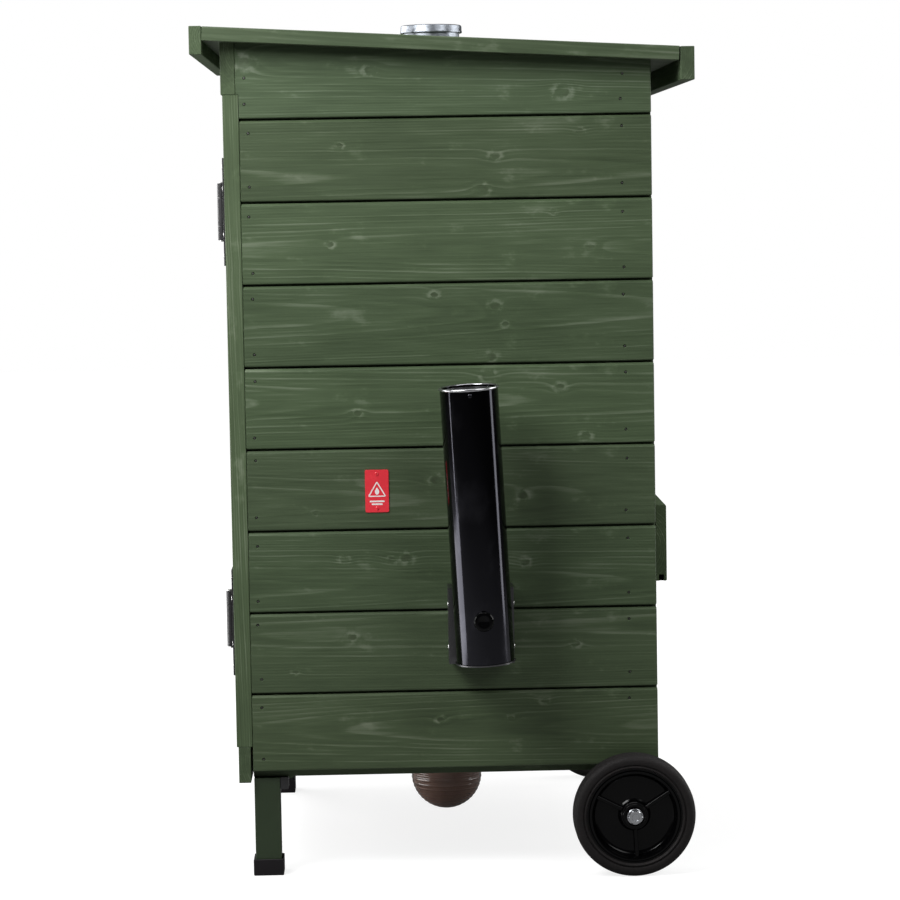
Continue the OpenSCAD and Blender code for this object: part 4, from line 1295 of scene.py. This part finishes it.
def drip_bowl():
    """A half sphere under a short straight wall and a flat rim, with spun ripples outside."""
    low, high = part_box("drip_bowl")
    centre = (low + high) / 2
    radius, rim_r = 49.8 * MM, (high.x - low.x) / 2
    straight = 76 * MM
    wall = 1.2 * MM
    rings = 60
    profile, inner = [], []
    for i in range(rings + 1):
        a = math.radians(90) * i / rings
        rippled = radius - 0.3 * MM + 0.30 * MM * math.sin(i * TAU / 5)
        profile.append((rippled * math.sin(a), straight - rippled * math.cos(a)))
        inner.append(((radius - wall) * math.sin(a), straight - (radius - wall) * math.cos(a)))
    profile += section_from(radius, high.z, (0, -4), (0.8, -2.2), (2.2, -1.5))
    profile += section_from(rim_r, high.z, (-1.2, -1.5), (-0.3, -1.3), (0, -0.7), (-0.4, -0.1),
                            (-1.2, 0))
    profile += section_from(radius, high.z, (1, -0.1), (-0.4, -1.2), (-1.2, -3))
    profile += reversed(inner)
    bm = bmesh.new()
    lathe(bm, profile, axes(Vector((centre.x, centre.y, 0)), Z), 112, closed=False)
    finish_piece("drip_bowl_spun", bm, "drip_bowl", "brown_enamel", ("drip_bowl",), smooth=50)


drip_bowl()

# ---------- flue cap ----------


VENTS = 4
VENT_RING, VENT_R = 21 * MM, 9 * MM


def flue_cap():
    """Pressed cap with a rolled lower edge and four vents, on its spindle."""
    low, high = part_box("damper_cap")
    centre = Vector(((low.x + high.x) / 2, (low.y + high.y) / 2, low.z))
    radius, tall = (high.x - low.x) / 2, high.z - low.z
    profile = [(0, tall)]
    profile += section_from(radius, tall, (-5.5, 0), (-2.6, -0.3), (-1, -1.3), (-0.5, -3))
    profile += section_from(radius, 0, (-0.5, 3.4), (-0.1, 2.6), (0, 1.4), (-0.2, 0.4), (-1, 0),
                            (-2.2, 0.3), (-2.5, 1.6))
    profile += section_from(radius, tall, (-2.5, -3.2), (-5.5, -2.4))
    profile += [(0, tall - 2.4 * MM)]
    bm = bmesh.new()
    lathe(bm, profile, axes(centre, Z), 96, closed=False)
    holes = bmesh.new()
    for i in range(VENTS):
        a = i * TAU / VENTS
        spot = centre + Vector((math.cos(a), math.sin(a), 0)) * VENT_RING
        rod_between(holes, spot, spot + Z * 50 * MM, VENT_R, 40)
    bm = cut(bm, holes)
    finish_piece("damper_cap_pressed", bm, "damper", "galvanised_steel", ("damper_cap",),
                 smooth=30)
    spindle = bmesh.new()
    profile = section_from(0, tall, (0, 0), (2.2, -0.3), (3.6, -1.4), (3.6, -2.2), (3, -2.4))
    lathe(spindle, profile + [(3 * MM, 1 * MM), (0, 1 * MM)], axes(centre, Z), 32, closed=False)
    finish_piece("damper_spindle", spindle, "damper", "zinc_plate", ("damper_cap",))


flue_cap()

# ---------- control box ----------


DISPLAY_Y = 78 * MM    # from the box's front end to the display's middle
LAMP_Y, LAMP_UP = 30 * MM, 26 * MM
BOX_SCREW_IN = 9 * MM
DIAL_MARKS, DIAL_R = 11, 17.5 * MM
FLUTES, KNOB_STEPS = 20, 120


def control_box():
    """Moulded box with its inlet and switch, display window, dial marks, lamp and screws."""
    eased_copy("control_box", "control_box_moulded", 2.2 * MM, segments=3)
    eased_copy("power_inlet", "power_inlet_moulded", 0.5 * MM)
    eased_copy("power_switch", "power_switch_rocker", 0.9 * MM, segments=3)
    low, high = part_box("control_box")
    mid_z = (low.z + high.z) / 2

    glass = bmesh.new()
    half_w, half_h = 22.6 * MM, 13.6 * MM
    place = axes(Vector((low.x + 1.2 * MM, low.y + DISPLAY_Y, mid_z)), -X, Z)
    extruded(glass, rectangle(-half_w, -half_h, half_w, half_h, 1.5 * MM, 4), 0.8 * MM, place,
             0.2 * MM)
    finish_piece("display_window", glass, "cabinet", "box_plastic", finish="display_glass")

    trims = bmesh.new()
    knob = middle("control_knob")
    knob.x = low.x + 0.3 * MM
    outline = rectangle(-0.5 * MM, -0.6 * MM, 0.5 * MM, 0.6 * MM, 0.2 * MM)
    for index in range(DIAL_MARKS):
        a = math.radians(-135 + 27 * index)
        away = Vector((0, math.sin(a), math.cos(a)))
        length = 4 * MM if index % 5 == 0 else 2.6 * MM
        extruded(trims, outline, length, axes(knob + away * DIAL_R, away, -X))
    lamp = Vector((low.x, low.y + LAMP_Y, mid_z + LAMP_UP))
    lathe(trims, section_from(0, 0, (0, 0.9), (1.3, 0.6), (1.9, 0), (1.9, -0.5), (0, -0.5)),
          axes(lamp, -X), 24, closed=False)
    finish_piece("dial_marks", trims, "cabinet", "box_plastic", finish="sign_white")

    corners = bmesh.new()
    for y in (low.y + BOX_SCREW_IN, high.y - BOX_SCREW_IN):
        for z in (low.z + BOX_SCREW_IN, high.z - BOX_SCREW_IN):
            screw_head(corners, Vector((low.x, y, z)), -X, 3.0 * MM, 1.2 * MM)
    finish_piece("control_box_screws", corners, "cabinet", "zinc_plate")


def control_knob():
    """Fluted knob with a pointer line."""
    low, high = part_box("control_knob")
    centre = middle("control_knob")
    centre.x = high.x - 6.6 * MM
    tall = centre.x - low.x
    radius = (high.y - low.y) / 2
    place = axes(centre, -X)
    skirt = section_from(radius, 0, (-0.3, 0.2), (0, 1), (0, 3), (-0.8, 3.6), (-1.2, 4.4))
    head = section_from(radius, tall, (-1.9, -1.8), (-2.4, -0.8), (-3.6, -0.2), (-5, 0))
    profile = [(3 * MM, -7 * MM), (3 * MM, 0)] + skirt + head
    flutes = (0, 0, 0, 0, 0, 0.4, 1, 1, 0.7, 0.1, 0)
    bm = bmesh.new()
    rings = []
    for (r, height), flute in zip(profile, flutes):
        ring = []
        for i in range(KNOB_STEPS):
            a = TAU * i / KNOB_STEPS
            rippled = r + 0.45 * MM * flute * math.cos(FLUTES * a)
            ring.append(bm.verts.new(place @ Vector((height, rippled * math.cos(a),
                                                     rippled * math.sin(a)))))
        rings.append(ring)
    skin(bm, rings)
    finish_piece("control_knob_fluted", bm, "knob", "black_plastic", ("control_knob",))
    line = bmesh.new()
    start = Vector((low.x + 0.1 * MM, centre.y, centre.z + 4.2 * MM))
    outline = rectangle(-0.7 * MM, -0.5 * MM, 0.7 * MM, 0.1 * MM, 0.15 * MM)
    extruded(line, outline, 4.6 * MM, axes(start, Z, -X))
    finish_piece("knob_pointer", line, "knob", "black_plastic", finish="sign_white")


control_box()
control_knob()

# ---------- stage and lights ----------

FLOOR_HALF = 12.0
FLOOR_STEPS = 24
WORLD_LIGHT = 0.06     # the world's strength for everything but the camera


def stage():
    """A floor that is nearly white to the camera and grey to everything else."""
    bm = bmesh.new()
    size = 2 * FLOOR_HALF / FLOOR_STEPS
    grid = [[bm.verts.new((-FLOOR_HALF + i * size, -FLOOR_HALF + j * size, 0))
             for j in range(FLOOR_STEPS + 1)] for i in range(FLOOR_STEPS + 1)]
    for near, far in zip(grid, grid[1:]):
        for j in range(FLOOR_STEPS):
            bm.faces.new((near[j], far[j], far[j + 1], near[j + 1]))
    mesh = bpy.data.meshes.new("floor")
    bm.to_mesh(mesh)
    bm.free()
    floor = bpy.data.objects.new("floor", mesh)
    bpy.context.scene.collection.objects.link(floor)
    t = Tree("floor")
    cloud = t.noise(t.place(), (0.6, 0.6, 0.6), 3.0)
    paper = t.mix(cloud, (0.26, 0.26, 0.26), (0.30, 0.30, 0.30))
    seen = t.node("LightPath").outputs["Is Camera Ray"]
    glow = t.math("MULTIPLY", seen, t.span(t.length(t.place()), 0.6, 2.6, 0.80, 1.0))
    floor.data.materials.append(t.shade(Base_Color=paper, Roughness=0.9, Specular_IOR_Level=0.1,
                                        Emission_Color=(1, 1, 1), Emission_Strength=glow))


def area_light(name, spot, target, width, height, power):
    """A rectangular panel that faces its target, unseen by the camera."""
    data = bpy.data.lights.new(name, "AREA")
    data.shape = "RECTANGLE"
    data.size, data.size_y = width, height
    data.energy = power
    lamp = bpy.data.objects.new(name, data)
    lamp.visible_camera = False
    bpy.context.scene.collection.objects.link(lamp)
    back = (spot - target).normalized()
    side = Z.cross(back).normalized()
    turn = Matrix((side, back.cross(side), back)).transposed().to_4x4()
    lamp.matrix_world = Matrix.Translation(spot) @ turn


def lights():
    target = Vector((CENTRE.x, CENTRE.y, 0.62))
    area_light("key", at(1250, -1050, 1800), target + Z * 0.10, 0.9, 0.9, 46)
    area_light("fill", at(2300, 1900, 2500), target + Z * 0.2, 1.6, 1.6, 34)
    tube = target + X * 0.38
    area_light("strip", at(560, -2700, 500), tube, 0.06, 1.6, 6)
    area_light("low_panel", at(150, -1150, 40), tube - Z * 0.3, 1.1, 0.4, 8)
    area_light("right_strip", at(300, 2700, 900), tube, 0.5, 1.8, 14)
    area_light("overhead", at(0, 0, 3300), target + Y * 0.01, 2.4, 2.4, 50)
    area_light("front_fill", at(-700, -3000, 1300), target, 1.6, 1.6, 45)
    area_light("left_fill", at(-2200, -2400, 1700), target, 2.0, 2.0, 60)
    area_light("rear_fill", at(-700, 3000, 1600), target, 2.0, 2.0, 50)


def world():
    """White to the camera, dim to everything else."""
    made = bpy.data.worlds.new("studio")
    bpy.context.scene.world = made
    made.use_nodes = True
    tree = made.node_tree
    background = tree.nodes["Background"]
    path = tree.nodes.new("ShaderNodeLightPath")
    level = tree.nodes.new("ShaderNodeMapRange")
    tree.links.new(path.outputs["Is Camera Ray"], level.inputs["Value"])
    level.inputs["To Min"].default_value = WORLD_LIGHT
    level.inputs["To Max"].default_value = 1.0
    background.inputs["Color"].default_value = (1, 1, 1, 1)
    tree.links.new(level.outputs[0], background.inputs["Strength"])


stage()
lights()
world()
bpy.context.scene.view_settings.view_transform = "Standard"
